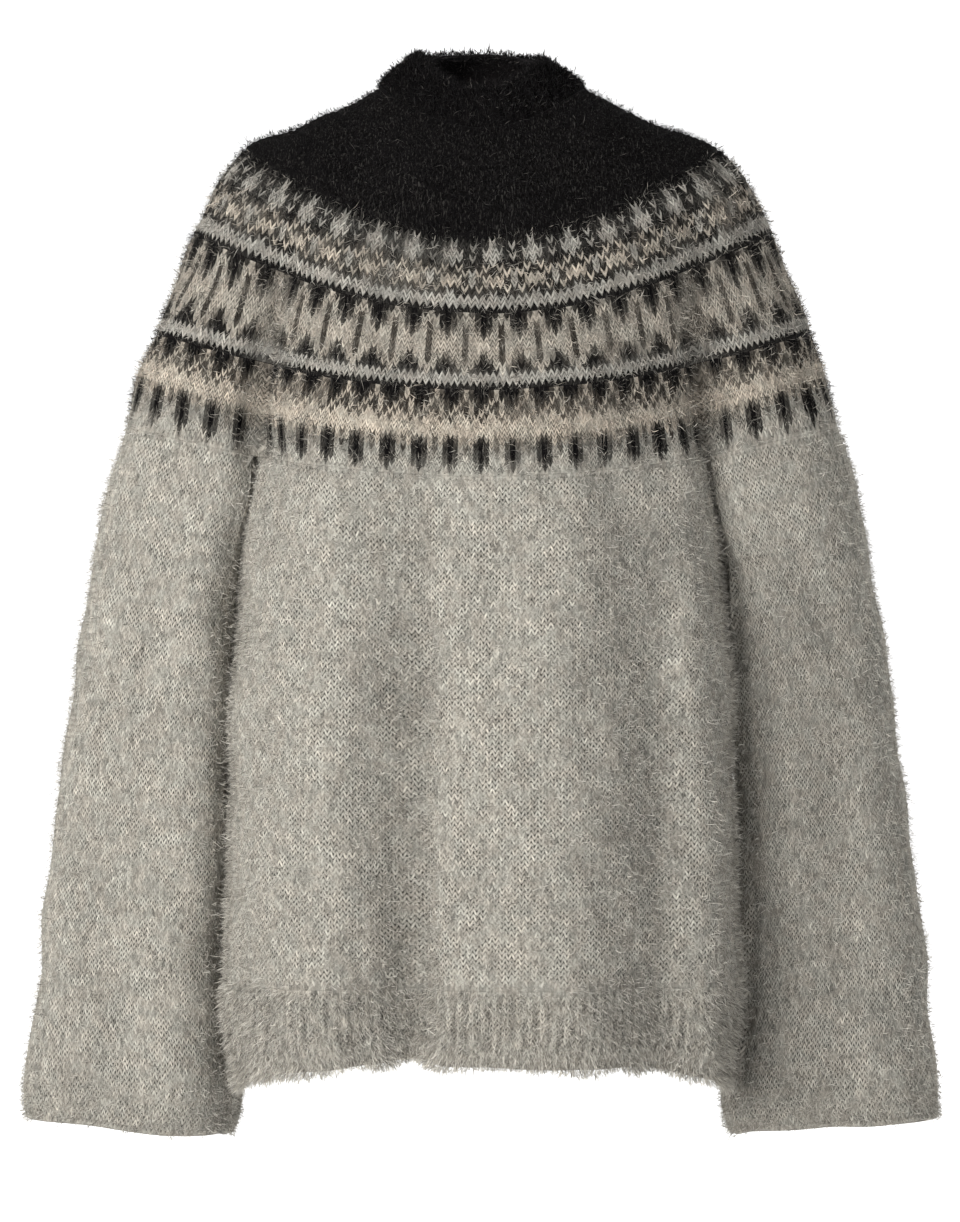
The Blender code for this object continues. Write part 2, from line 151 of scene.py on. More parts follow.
def planNormals(ring):
    ahead = np.roll(ring, -1, axis=0) - np.roll(ring, 1, axis=0)
    outward = np.stack([ahead[:, 1], -ahead[:, 0], np.zeros(len(ring))], axis=1)
    return outward / np.linalg.norm(outward, axis=1, keepdims=True)


def foldRelief(folds, places, down):  # each fold: place at the top and foot, spread, depth at both
    relief = np.zeros_like(places)
    for topPlace, footPlace, spread, topDepth, footDepth in folds:
        middle = topPlace + (footPlace - topPlace) * down
        depth = topDepth + (footDepth - topDepth) * smooth(down / cloth["foldGrown"])
        relief += depth * np.exp(-((places - middle) / spread) ** 2)
    return relief


yoke = {
    "rings": {
        "share": (0.00, 0.07, 0.15, 0.30, 0.37, 0.49, 0.72, 0.86, 1.00),
        "halfWidth": (0.076, 0.097, 0.124, 0.176, 0.193, 0.209, 0.240, 0.253, 0.263),
        "sideHeight": (0.023, 0.012, -0.001, -0.022, -0.041, -0.076, -0.152, -0.189, -0.228),
        "frontReach": (0.064, 0.074, 0.083, 0.097, 0.104, 0.112, 0.119, 0.120, 0.119),
        "frontHeight": (-0.010, -0.030, -0.050, -0.091, -0.109, -0.140, -0.197, -0.233, -0.266),
        "backReach": (0.078, 0.087, 0.095, 0.106, 0.111, 0.115, 0.117, 0.115, 0.112),
        "backHeight": (0.026, 0.010, -0.010, -0.053, -0.075, -0.112, -0.180, -0.222, -0.262),
    },
    "dip": 2.2,            # how sharply a ring drops from the arm to the middle of the chest
    "armpitStart": 0.30,   # share of the yoke at which the folds into the armpits begin
    "armMiddle": 0.006,
    "armhole": ((0.186, -0.055), (0.226, -0.053), (0.256, -0.030), (0.263, 0.006),
                (0.256, 0.040), (0.226, 0.064), (0.186, 0.067)),
    "endReach": 4,
    "lines": 129,
    "armLift": 0.022,      # share of the yoke by which its last bands are drawn up over the arms
    "armSpread": 0.13,     # share of the way round, from the middle of an arm
    "armRows": (0.70, 0.24, 0.03),   # from where, over how much of the yoke, and over how much it ends
}


def yokeHeight(ring, across, behind):
    dip = np.clip(1.0 - across ** 2, 0.0, 1.0) ** (yoke["dip"] / 2.0)
    middle = np.where(behind, ring["backHeight"], ring["frontHeight"])
    return ring["sideHeight"] + (middle - ring["sideHeight"]) * dip


def armWeight(down, along):  # 1 where the last bands lie over the middle of an arm
    start, run, end = yoke["armRows"]
    overArm = smooth(1.0 - np.abs(np.mod(along, 0.5) - 0.25) / yoke["armSpread"])
    return overArm * smooth((down - start) / run) * smooth((1.0 - down) / end)


def ovalRing(ring):
    angle = np.linspace(0.0, 2 * math.pi, cloth["ringSamples"], endpoint=False)
    behind = np.cos(angle) < 0.0
    reach = np.where(behind, ring["backReach"], ring["frontReach"])
    x = ring["halfWidth"] * np.sin(angle)
    return np.stack([x, -reach * np.cos(angle), yokeHeight(ring, np.sin(angle), behind)], axis=1)


body = {
    "rings": {
        "height": (-0.200, -0.260, -0.345, -0.450, -0.600, -0.645, -0.720),
        "halfWidth": (0.168, 0.172, 0.178, 0.183, 0.187, 0.188, 0.181),
        "frontReach": (0.119, 0.119, 0.117, 0.113, 0.109, 0.107, 0.103),
        "backReach": (0.113, 0.112, 0.106, 0.102, 0.105, 0.105, 0.100),
    },
    "squareness": 2.4,
    "ribTop": -0.638,
    "hemFront": -0.694,
    "hemSide": -0.714,
    "hemBack": -0.700,
    "rollIn": 0.0090,      # the edge of the hem rolls inwards, from this level on
    "rollFrom": 1.55,
    "rollSides": 0.5,      # less so towards the side seams
    "frontFolds": ((0.255, 0.250, 0.085, 0.003, 0.007), (0.385, 0.395, 0.060, -0.003, -0.008),
                   (0.590, 0.600, 0.110, 0.002, 0.006), (0.790, 0.805, 0.055, -0.003, -0.006),
                   (0.885, 0.890, 0.045, 0.001, 0.003)),
    "backFolds": ((0.190, 0.200, 0.060, 0.001, 0.004), (0.330, 0.320, 0.065, -0.003, -0.006),
                  (0.480, 0.470, 0.100, 0.002, 0.006), (0.650, 0.665, 0.060, -0.003, -0.007),
                  (0.770, 0.775, 0.070, 0.002, 0.005)),
    "lines": 93,
    "stitches": 108,       # across the front or the back
    "rows": 94,
}


def bodyRing(level):  # level 0 at the underarm, 1 at the top of the rib, 2 at the hem
    angle = np.linspace(-math.pi / 2, 1.5 * math.pi, cloth["ringSamples"], endpoint=False)
    behind = np.cos(angle) < 0.0
    top = readRings(yoke["rings"], "share", 1.0)
    underarm = readRings(body["rings"], "height", top["sideHeight"])
    across = underarm["halfWidth"] * powerOf(np.sin(angle), body["squareness"]) / top["halfWidth"]
    topHeight = yokeHeight(top, across, behind)
    hemMiddle = np.where(behind, body["hemBack"], body["hemFront"])
    hemHeight = body["hemSide"] + (hemMiddle - body["hemSide"]) * np.abs(np.cos(angle))
    if level <= 1.0:
        height = topHeight + (body["ribTop"] - topHeight) * level
    else:
        height = body["ribTop"] + (hemHeight - body["ribTop"]) * (level - 1.0)
    size = readRings(body["rings"], "height", height)
    reach = np.where(behind, size["backReach"], size["frontReach"])
    ring = np.stack([size["halfWidth"] * powerOf(np.sin(angle), body["squareness"]),
                     -reach * powerOf(np.cos(angle), body["squareness"]), height], axis=1)
    halfway = len(ring) // 2
    relief = []
    for part, folds in ((ring[:halfway], body["frontFolds"]), (ring[halfway:], body["backFolds"])):
        travelled = np.cumsum(np.linalg.norm(np.diff(part, axis=0, prepend=part[:1]), axis=1))
        relief.append(foldRelief(folds, travelled / travelled[-1], min(level, 1.0)))
    roll = body["rollIn"] * smooth((level - body["rollFrom"]) / (2.0 - body["rollFrom"])) ** 2
    roll = roll * smooth(np.abs(np.cos(angle)) / body["rollSides"])
    return ring + planNormals(ring) * (np.concatenate(relief) - roll)[:, None]


def panelRow(level):  # the front from -X to +X, then the back, each divided evenly
    columns = (cloth["panel"] + cloth["underarm"]) * cloth["fine"]
    ring = bodyRing(level)
    halfway = len(ring) // 2
    shares = np.linspace(0.0, 1.0, columns + 1)
    front, back = ring[:halfway + 1], np.vstack([ring[halfway:], ring[:1]])
    return shareAlong(front, shares), shareAlong(back, shares)


def bodyTop(side):
    front, back = panelRow(0.0)
    if side < 0:
        front, back = mirrored(front)[::-1], mirrored(back)[::-1]
    return front, back


def armholeSeam(side):
    half = cloth["underarm"] // 2 * cloth["fine"]
    front, back = bodyTop(side)
    frontEnd, backEnd = front[-1 - half], back[half]
    top = readRings(yoke["rings"], "share", 1.0)
    plan = curveThrough([frontEnd[:2], *yoke["armhole"], backEnd[:2]])
    height = yokeHeight(top, plan[:, 0] / top["halfWidth"], plan[:, 1] > yoke["armMiddle"])
    along = np.linspace(0.0, 1.0, len(plan))
    height += ((frontEnd[2] - height[0]) * (1 - along) ** yoke["endReach"]
               + (backEnd[2] - height[-1]) * along ** yoke["endReach"])
    shares = np.linspace(0.0, 1.0, cloth["overArm"] * cloth["fine"] + 1)
    return shareAlong(np.column_stack([plan, height]), shares)


def seamRing():  # the yoke's foot: half the front, an armhole, the back, the other armhole, half the front
    half = cloth["underarm"] // 2 * cloth["fine"]
    front, back = bodyTop(1)
    frontArc, backArc = front[half:-half], back[half:-half]
    middle = cloth["panel"] * cloth["fine"] // 2
    return np.vstack([frontArc[middle:-1], armholeSeam(1)[:-1], backArc[:-1],
                      mirrored(armholeSeam(-1))[:0:-1], frontArc[:middle]])


collar = {
    "top": {"halfWidth": 0.045, "sideHeight": 0.0455, "frontReach": 0.051, "frontHeight": 0.017,
            "backReach": 0.060, "backHeight": 0.056},
    "lean": 1.7,           # over 1, so that the funnel is steep at its foot and leans in at its top
    "lines": 25,
    "stitches": 84,
    "rows": 8,
    "ribRelief": 0.0009,
}


def neckLines():  # the collar from its top down, then the yoke down to the underarm level
    columns = 2 * (cloth["panel"] + cloth["overArm"]) * cloth["fine"]
    shares = np.arange(columns) / columns
    foot = shareRound(ovalRing(readRings(yoke["rings"], "share", 0.0)), shares)
    top = shareRound(ovalRing(collar["top"]), shares)
    rows = []
    for level in np.linspace(1.0, 0.0, collar["lines"])[:-1]:
        inward = level ** collar["lean"]
        rows.append(foot + (top - foot) * np.array([inward, inward, level]))
    seam = seamRing()
    lastOval = shareRound(ovalRing(readRings(yoke["rings"], "share", 1.0)), shares)
    for level in np.linspace(0.0, 1.0, yoke["lines"]):
        oval = shareRound(ovalRing(readRings(yoke["rings"], "share", level)), shares)
        weight = smooth((level - yoke["armpitStart"]) / (1.0 - yoke["armpitStart"]))
        rows.append(oval + (seam - lastOval) * weight)
    return np.array(rows)


hem = {"lines": 17, "stitches": 116, "rows": 15, "ribRelief": 0.0010}


def bodyLines():
    levels = np.concatenate([np.linspace(0.0, 1.0, body["lines"]), np.linspace(1.0, 2.0, hem["lines"])[1:]])
    rows = []
    for level in levels:
        front, back = panelRow(level)
        rows.append(np.vstack([front[:-1], back[:-1]]))
    return np.array(rows)


sleeve = {
    "rings": {
        "share": (0.00, 0.14, 0.38, 0.67, 0.84, 0.93, 0.98, 1.00),
        "height": (-0.240, -0.310, -0.432, -0.577, -0.662, -0.711, -0.738, -0.748),
        "centreX": (0.211, 0.226, 0.243, 0.253, 0.257, 0.2565, 0.2590, 0.2610),
        "centreY": (0.006, 0.014, 0.026, 0.034, 0.038, 0.0393, 0.040, 0.040),
        "halfWidth": (0.052, 0.056, 0.062, 0.070, 0.077, 0.0825, 0.0805, 0.0780),
        "halfDepth": (0.060, 0.062, 0.057, 0.051, 0.047, 0.0452, 0.044, 0.042),
        "tilt": (0.22, 0.17, 0.11, 0.10, 0.09, 0.084, 0.08, 0.08),
    },
    "folds": ((0.130, 0.100, 0.060, -0.002, -0.004), (0.260, 0.240, 0.070, 0.001, 0.004),
              (0.500, 0.520, 0.060, -0.001, -0.005), (0.640, 0.620, 0.050, 0.001, 0.003)),
    "seamBlend": 0.22,
    "clearance": 0.003,
    "clearanceRun": 0.030,
    "lines": 131,
    "stitches": 112,
    "rows": 120,
}


def sleeveOval(level):
    ring = readRings(sleeve["rings"], "share", level)
    places = np.arange(cloth["ringSamples"]) / cloth["ringSamples"]
    angle = 2 * math.pi * places
    out = ring["halfWidth"] * np.cos(angle)
    oval = np.stack([ring["centreX"] + out, ring["centreY"] + ring["halfDepth"] * np.sin(angle),
                     ring["height"] + ring["tilt"] * out], axis=1)
    return oval + planNormals(oval) * foldRelief(sleeve["folds"], places, level)[:, None]


def clearOfBody(points, underarmHeight):
    x, y, z = points.T
    size = readRings(body["rings"], "height", z)
    margin = sleeve["clearance"] * smooth((underarmHeight - z) / sleeve["clearanceRun"])
    reach = np.where(y > 0.0, size["backReach"], size["frontReach"]) + margin
    within = (np.abs(x / (size["halfWidth"] + margin)) ** body["squareness"]
              + np.abs(y / reach) ** body["squareness"]) ** (1.0 / body["squareness"])
    push = 1.0 / np.minimum(within, 1.0)
    return points * np.stack([push, push, np.ones(len(points))], axis=1)


def sleeveLines(side):  # columns over the outer arm from front to back, then under the arm
    half = cloth["underarm"] // 2 * cloth["fine"]
    front, back = bodyTop(side)
    underarm = np.vstack([front[-1 - half:-1], back[:half + 1]])[::-1]
    seam = np.vstack([armholeSeam(side)[:-1], underarm[:-1]])
    overArm = cloth["overArm"] * cloth["fine"]
    shares = (np.arange(len(seam)) - overArm / 2) / len(seam)
    firstOval = shareRound(sleeveOval(0.0), shares)
    rows = [seam]
    for level in np.linspace(0.0, 1.0, sleeve["lines"])[1:]:
        row = shareRound(sleeveOval(level), shares)
        row = row + (seam - firstOval) * (1.0 - smooth(level / sleeve["seamBlend"]))
        rows.append(clearOfBody(row, underarm[:, 2].min()))
    grid = np.array(rows)
    return grid if side > 0 else mirrored(grid)[:, ::-1]


# soft troughs and ridges down the garment, in millimetres: heights, places across, how wide they run to -X
# and to +X of that, and depths, + outwards
creases = {
    "front": (
        ((-235, -285, -330, -370, -415, -500, -600, -700), (-36, -38, -43, -41, -43, -44, -43, -44),
         (18, 28, 42, 44, 50, 52, 52, 50), (11, 12, 12, 12, 11, 11, 11, 12),
         (0, -5, -9, -8, -10.5, -10.5, -10.5, -10)),
        ((-300, -370, -460, -560, -640, -700), (-50, -48, -50, -51, -50, -51), (14, 16, 18, 18, 17, 17),
         (9, 9, 10, 10, 10, 10), (0, -2.6, -3.6, -5.6, -8.2, -8.2)),
        ((-235, -290, -330, -370, -455, -545, -630, -700), (84, 98, 108, 114, 122, 129, 128, 124),
         (16, 22, 30, 34, 42, 46, 46, 44), (12, 16, 18, 20, 18, 16, 18, 18),
         (0, -4.6, -5.6, -4.6, -6, -7.6, -8, -7.6)),
        ((-385, -425, -465, -510), (70, 73, 75, 78), (10, 14, 14, 12), (12, 14, 14, 12), (0, -3.6, -3.2, 0)),
        ((-240, -340, -520, -700), (-118, -112, -108, -104), (30, 32, 34, 30), (18, 20, 20, 20),
         (0, 2.2, 2.6, 2.6)),
        ((-200, -270, -340, -500, -700), (46, 54, 58, 62, 60), (50, 66, 74, 80, 74), (18, 26, 34, 36, 34),
         (0, 4, 5.6, 6.4, 6)),
        ((-220, -280, -370, -460, -550, -700), (138, 145, 150, 157, 167, 164), (12, 16, 16, 16, 18, 18),
         (8, 10, 11, 11, 10, 10), (0, 6.4, 5, 3.8, 4.4, 4.2)),
        ((-50, -110, -170, -230, -300), (-148, -156, -164, -169, -164), (10, 14, 14, 12, 10),
         (10, 14, 14, 12, 10), (0, -3.6, -5.8, -7, 0)),
        ((-50, -110, -170, -230, -300), (150, 158, 166, 171, 166), (10, 14, 14, 12, 10), (10, 14, 14, 12, 10),
         (0, -3.6, -6, -7.2, 0)),
        ((-255, -310, -390), (-158, -140, -118), (10, 12, 14), (12, 14, 16), (-1.4, -3.4, 0)),
        ((-255, -320, -400), (160, 144, 124), (12, 14, 16), (10, 12, 14), (-1.4, -3.4, 0)),
        ((-545, -600, -700), (-88, -94, -90), (10, 12, 12), (10, 12, 12), (0, -2.6, -2.2)),
        ((-290, -360, -450), (215, 250, 300), (12, 14, 14), (14, 16, 14), (0, -4.4, 0)),
        ((-270, -340, -500, -700, -760), (200, 209, 216, 218, 212), (22, 30, 36, 38, 32),
         (28, 46, 58, 58, 42), (0, -12, -15.5, -15.5, -8)),
        ((-340, -460, -600, -760), (262, 264, 266, 264), (22, 26, 28, 26), (16, 18, 18, 18),
         (0, -4.5, -5, -3.5)),
        ((-270, -340, -500, -560, -630, -700, -760), (-200, -205, -209, -214, -226, -230, -228),
         (24, 30, 32, 32, 34, 34, 30), (14, 15, 18, 22, 34, 38, 34), (0, 4.8, 6.6, 7.2, 9.4, 9.6, 7)),
        ((-540, -610, -690, -760), (-182, -180, -178, -178), (22, 30, 34, 30), (12, 10, 8, 8),
         (0, -6, -9.5, -8)),
        ((-340, -430, -540), (212, 238, 282), (12, 14, 14), (12, 16, 16), (0, -4, 0)),
        ((-280, -370, -470), (-214, -240, -276), (12, 16, 16), (12, 14, 14), (0, -3.6, 0)),
        ((-400, -550, -700, -760), (-268, -284, -292, -290), (16, 20, 20, 18), (18, 22, 22, 20),
         (0, -3.4, -4, -3)),
    ),
    "back": (
        ((-220, -330, -500, -700), (66, 72, 80, 78), (20, 30, 34, 32), (16, 20, 20, 20), (0, -8, -11, -10.5)),
        ((-240, -360, -540, -700), (-74, -86, -84, -90), (16, 20, 20, 18), (24, 36, 42, 40),
         (0, -9, -10.5, -11.5)),
        ((-220, -360, -520, -700), (12, 4, -8, -4), (22, 28, 28, 26), (20, 26, 24, 22), (0, 2.2, 2.8, 2.4)),
        ((-260, -400, -560, -700), (136, 140, 134, 138), (14, 18, 16, 16), (14, 18, 16, 16),
         (0, 3, 3.8, 3.4)),
        ((-300, -440, -700), (-140, -146, -142), (12, 16, 16), (14, 18, 18), (0, 3.2, 3.8)),
        ((-50, -120, -190, -240, -300), (-148, -156, -166, -170, -164), (10, 14, 13, 12, 10),
         (10, 14, 13, 12, 10), (0, -3.4, -5.6, -6, 0)),
        ((-50, -120, -190, -240, -300), (148, 157, 167, 171, 164), (10, 14, 13, 12, 10), (10, 14, 13, 12, 10),
         (0, -3.2, -5.8, -6.2, 0)),
        ((-260, -330, -420), (-160, -140, -116), (10, 13, 14), (12, 15, 16), (-1.4, -3.6, 0)),
        ((-260, -320, -400), (160, 142, 124), (12, 14, 16), (10, 12, 14), (-1.4, -3.2, 0)),
        ((-300, -380, -470), (214, 246, 288), (12, 14, 14), (12, 16, 14), (0, -4, 0)),
        ((-300, -390, -500), (-214, -242, -284), (12, 16, 16), (12, 14, 14), (0, -4.2, 0)),
        ((-440, -600, -760), (272, 280, 276), (18, 22, 20), (16, 20, 20), (0, -3.8, -3)),
        ((-420, -580, -760), (-266, -272, -276), (18, 22, 20), (18, 22, 20), (0, 3.4, 2.8)),
    ),
    # the hand of soft wool: waves per metre along X, Y and Z, phase in turns, height in metres
    "waves": ((5.0, 3.0, 9.0, 0.1, 0.0011), (-9.0, 5.0, 6.0, 0.45, 0.001), (14.0, -6.0, 5.0, 0.8, 0.0008),
              (4.0, 9.0, -15.0, 0.25, 0.0006), (19.0, 11.0, 13.0, 0.6, 0.0005)),
}


def creaseRelief(points, normals):
    x, _, z = np.moveaxis(points, -1, 0)
    relief = np.zeros_like(x)
    for side, lines in ((-1, creases["front"]), (1, creases["back"])):
        facing = smooth((side * normals[..., 1] - 0.05) / 0.45)
        for line in lines:
            columns = zip(("height", "place", "left", "right", "depth"), line)
            at = readRings({name: np.array(column) / 1000 for name, column in columns}, "height", z)
            across = x - at["place"]
            width = np.where(across < 0.0, at["left"], at["right"])
            relief += facing * at["depth"] * np.exp(-(across / width) ** 2)
    for *perMetre, phase, height in creases["waves"]:
        relief += height * np.sin(2 * math.pi * (points @ np.array(perMetre) + phase))
    return relief


def outwardNormals(points):  # of a closed tube of rings, each anticlockwise from above
    down = np.gradient(points, axis=0)
    along = np.roll(points, -1, axis=1) - np.roll(points, 1, axis=1)
    normals = np.cross(down, along)
    return normals / np.linalg.norm(normals, axis=2, keepdims=True)


def creased(points):
    normals = outwardNormals(points)
    relief = creaseRelief(points, normals)
    points = points + normals * relief[..., None]
    return points, outwardNormals(points), relief[..., None]


def cutSurface(grids, rows, columns=None):  # a piece's share of the tube it was measured on
    if columns is None:
        return {"grids": [grid[rows] for grid in grids], "closed": True}
    return {"grids": [grid[rows][:, columns] for grid in grids], "closed": False}


def lookUp(surface, down, along):  # place, outward direction and relief at shares down and along a piece
    rows, columns = surface["grids"][0].shape[:2]
    row = np.clip(down, 0.0, 1.0) * (rows - 1)
    upper = np.minimum(row.astype(int), rows - 2)
    rowShare = (row - upper)[..., None]
    if surface["closed"]:
        column = along * columns
        left = np.floor(column).astype(int)
        columnShare = (column - left)[..., None]
        right = (left + 1) % columns
        left = left % columns
    else:
        column = np.clip(along, 0.0, 1.0) * (columns - 1)
        left = np.minimum(column.astype(int), columns - 2)
        columnShare = (column - left)[..., None]
        right = left + 1
    found = []
    for grid in surface["grids"]:
        above = grid[upper, left] * (1 - columnShare) + grid[upper, right] * columnShare
        below = grid[upper + 1, left] * (1 - columnShare) + grid[upper + 1, right] * columnShare
        found.append(above * (1 - rowShare) + below * rowShare)
    return found[0], found[1] / np.linalg.norm(found[1], axis=-1, keepdims=True), found[2]


neckGrids = creased(neckLines())
bodyGrids = creased(bodyLines())
panelColumns = bodyGrids[0].shape[1] // 2
frontColumns = np.arange(panelColumns + 1)
backColumns = np.concatenate([np.arange(panelColumns, 2 * panelColumns), [0]])
collarFoot = collar["lines"] - 1
ribStart = body["lines"] - 1
surfaces = {
    "collar": cutSurface(neckGrids, slice(0, collarFoot + 1)),
    "yoke": cutSurface(neckGrids, slice(collarFoot, None)),
    "body_front": cutSurface(bodyGrids, slice(0, ribStart + 1), frontColumns),
    "body_back": cutSurface(bodyGrids, slice(0, ribStart + 1), backColumns),
    "hem_rib_front": cutSurface(bodyGrids, slice(ribStart, None), frontColumns),
    "hem_rib_back": cutSurface(bodyGrids, slice(ribStart, None), backColumns),
    "sleeve_left": cutSurface(creased(sleeveLines(1)), slice(None)),
    "sleeve_right": cutSurface(creased(sleeveLines(-1)), slice(None)),
}
print("surfaces measured and creased")

def plainChart(piece, sign):
    return ({"stitches": piece["stitches"], "turn": 0.0, "rows": (sign,) * piece["rows"]},)


# the charts run from the neck down, a line to a row; turn is in stitches from the middle of the front
charts = {
    "yoke": (
        {"stitches": 96, "turn": 0.0, "rows": ("k",) * 7},
        {"stitches": 132, "turn": 0.0, "rows": ("k",) * 6},
        {"stitches": 168, "turn": 0.0, "rows": ("k",) * 7},
        {"stitches": 204, "turn": 1.6, "slant": 0.60, "rows": (
            "kkkkkk", "gkkkkk", "gkkgkk", "ggkkkg", "ggkgkg", "gkkkkk", "kbkkkb",
            "kkbgbk", "bbkgkb", "bbkgkb", "kkbkbk", "gkkkkk", "g", "g", "k")},
        {"stitches": 264, "turn": 0.32, "slant": 0.58, "foldBlur": 0.9, "rows": (
            "kkkLkk", "kkLLLk", "kkLnLk", "kmLnLm", "kLLnLL", "LLLnLL", "LLLnLL",
            "LLLnLL", "kLLnLL", "kmLnLm", "kkLLLk", "kkkLkk", "g", "g", "k")},
        {"stitches": 348, "turn": -1.0, "slant": 0.54, "veil": 1.5, "foldBlur": 0.85, "rows": (
            "kkkkbk", "kkknbk", "nkkbnb", "knbnkb", "nbkbnb", "bnbbbn", "b", "b", "b",
            "mkmbnb", "kkkbmb", "kkkhnh", "kkkhmh", "kkkhhh", "mkkhhh", "hkhhhh", "h")},
    ),
    "collar": plainChart(collar, "k"),
    "body": plainChart(body, "h"),
    "hem": plainChart(hem, "h"),
    "sleeve": plainChart(sleeve, "h"),
}


def bandColours(band):  # the yarn of every stitch of a band
    signs = [list((row * band["stitches"])[:band["stitches"]]) for row in band["rows"]]
    return np.array([[yarns[sign] for sign in row] for row in signs])


def hazedColours(band):  # each stitch under the loose fibres of its neighbours
    colours = bandColours(band)
    rows, stitches = colours.shape[:2]
    padded = np.concatenate([colours[:1], colours, colours[-1:]])
    around = sum(np.roll(padded[1 + up:len(padded) - 1 + up], turn, axis=1)
                 for up in (-1, 0, 1) for turn in (-1, 0, 1)) / 9
    dark = colours.sum(axis=2, keepdims=True) < haze["darkUnder"]
    low, high = haze["dark"], haze["light"]
    chance = rng.random((rows, stitches, 1))
    share = np.where(dark, low[0] + (low[1] - low[0]) * chance ** 2, high[0] + (high[1] - high[0]) * chance)
    veil = np.kron(rng.random((rows // 3 + 1, stitches // 3 + 1)), np.ones((3, 3)))[:rows, :stitches]
    veil = (veil + np.roll(veil, 1, axis=1) + np.roll(veil, 1, axis=0)) / 3
    share = share + haze["veil"] * band.get("veil", 1.0) * veil[..., None] ** 2
    worn = np.repeat(rng.random(stitches // 6), 6)[None, :stitches, None] ** 2
    if stitches % 6 == 0:
        share = np.minimum(share + haze["wear"] * worn, haze["most"])
    plainRow = np.ptp(colours, axis=1).max(axis=1) < 0.001
    share = share * np.where(plainRow & dark[:, 0, 0], haze["plainRow"], 1.0)[:, None, None]
    # the bands blur in the folds at the armpits, and painted shade darkens them there
    fold = haze["fold"]
    fromArm = np.abs(np.mod((np.arange(stitches) + band["turn"]) / stitches, 0.5) - 0.25)
    blur = band.get("foldBlur", 0.0) * np.exp(-((fromArm - fold["at"]) / fold["wide"]) ** 2)[None, :, None]
    share = share + (fold["most"] - share) * blur
    return (colours * (1.0 - share) + around * share) * (1.0 - fold["shade"] * blur)


def yarnAt(chart, down, along):  # the yarn of the stitch at a share down and along, and if it is plain
    wanted = np.clip(down, 0.0, 0.9999) * sum(len(band["rows"]) for band in chart)
    found = np.zeros((len(down), 3))
    plain = np.zeros(len(down), bool)
    start = 0
    for band in chart:
        colours = bandColours(band)
        inside = (wanted >= start) & (wanted < start + len(band["rows"]))
        row = (wanted[inside] - start).astype(int)
        place = along[inside] * band["stitches"] + 0.5 - band["turn"]
        found[inside] = colours[row, np.floor(place).astype(int) % band["stitches"]]
        plain[inside] = len(set("".join(band["rows"]))) == 1
        start += len(band["rows"])
    return found, plain


def zipLines(upper, lower, closed):  # triangles between two lines of points, each an index and a share
    upperIndex, upperShare = upper
    lowerIndex, lowerShare = lower
    if closed:
        upperIndex, lowerIndex = np.append(upperIndex, upperIndex[0]), np.append(lowerIndex, lowerIndex[0])
        upperShare = np.append(upperShare, upperShare[0] + 1)
        lowerShare = np.append(lowerShare, lowerShare[0] + 1)
    triangles, shares = [], []
    i = j = 0
    while i < len(upperIndex) - 1 or j < len(lowerIndex) - 1:
        upperNext = upperShare[i + 1] if i < len(upperIndex) - 1 else math.inf
        lowerNext = lowerShare[j + 1] if j < len(lowerIndex) - 1 else math.inf
        if upperNext <= lowerNext:
            triangles.append((upperIndex[i], lowerIndex[j], upperIndex[i + 1]))
            shares.append((upperShare[i], lowerShare[j], upperShare[i + 1]))
            i += 1
        else:
            triangles.append((lowerIndex[j], lowerIndex[j + 1], upperIndex[i]))
            shares.append((lowerShare[j], lowerShare[j + 1], upperShare[i]))
            j += 1
    return np.array(triangles), np.array(shares)


def meshPiece(name, points, triangles, colours, maps, material, flat=None):
    mesh = bpy.data.meshes.new(name)
    mesh.vertices.add(len(points))
    mesh.vertices.foreach_set("co", np.asarray(points, np.float32).ravel())
    mesh.loops.add(3 * len(triangles))
    mesh.loops.foreach_set("vertex_index", np.asarray(triangles, np.int32).ravel())
    mesh.polygons.add(len(triangles))
    mesh.polygons.foreach_set("loop_start", np.arange(0, 3 * len(triangles), 3, dtype=np.int32))
    mesh.update(calc_edges=True)
    for mapName, places in maps.items():
        layer = mesh.uv_layers.new(name=mapName)
        layer.uv.foreach_set("vector", np.asarray(places, np.float32).ravel())
    layer = mesh.color_attributes.new(name="yarn", type="FLOAT_COLOR", domain="CORNER")
    layer.data.foreach_set("color", np.repeat(colours, 3, axis=0).astype(np.float32).ravel())
    mesh.materials.append(material)
    mesh.shade_smooth()
    if flat is not None:
        mesh.polygons.foreach_set("use_smooth", ~flat)
        mesh.update()
    piece = bpy.data.objects.new(name, mesh)
    bpy.context.scene.collection.objects.link(piece)
    return piece


def legFaces(corners, middles, start):  # four triangles to each leg, and their places across and down
    rows, legs = middles.shape
    here = np.arange(legs)
    beside = (here + 1) % corners.shape[1]
    a, b = corners[:-1][:, here], corners[1:][:, here]
    c, d = corners[1:][:, beside], corners[:-1][:, beside]
    cell = np.stack([np.stack([*edge, middles], 2) for edge in ((a, b), (b, c), (c, d), (d, a))], axis=2)
    across = np.array([[0, 0, 0.5], [0, 1, 0.5], [1, 1, 0.5], [1, 0, 0.5]])
    below = np.array([[0, 1, 0.5], [1, 1, 0.5], [1, 0, 0.5], [0, 0, 0.5]])
    legU = np.broadcast_to((here[None, :, None, None] + across) / 2, cell.shape)
    legV = start + np.arange(rows)[:, None, None, None] + np.broadcast_to(below, cell.shape)
    legV[0] = start + 0.4 + 0.6 * below
    legV[-1] = start + rows - 1 + 0.6 * below
    return cell, legU, legV


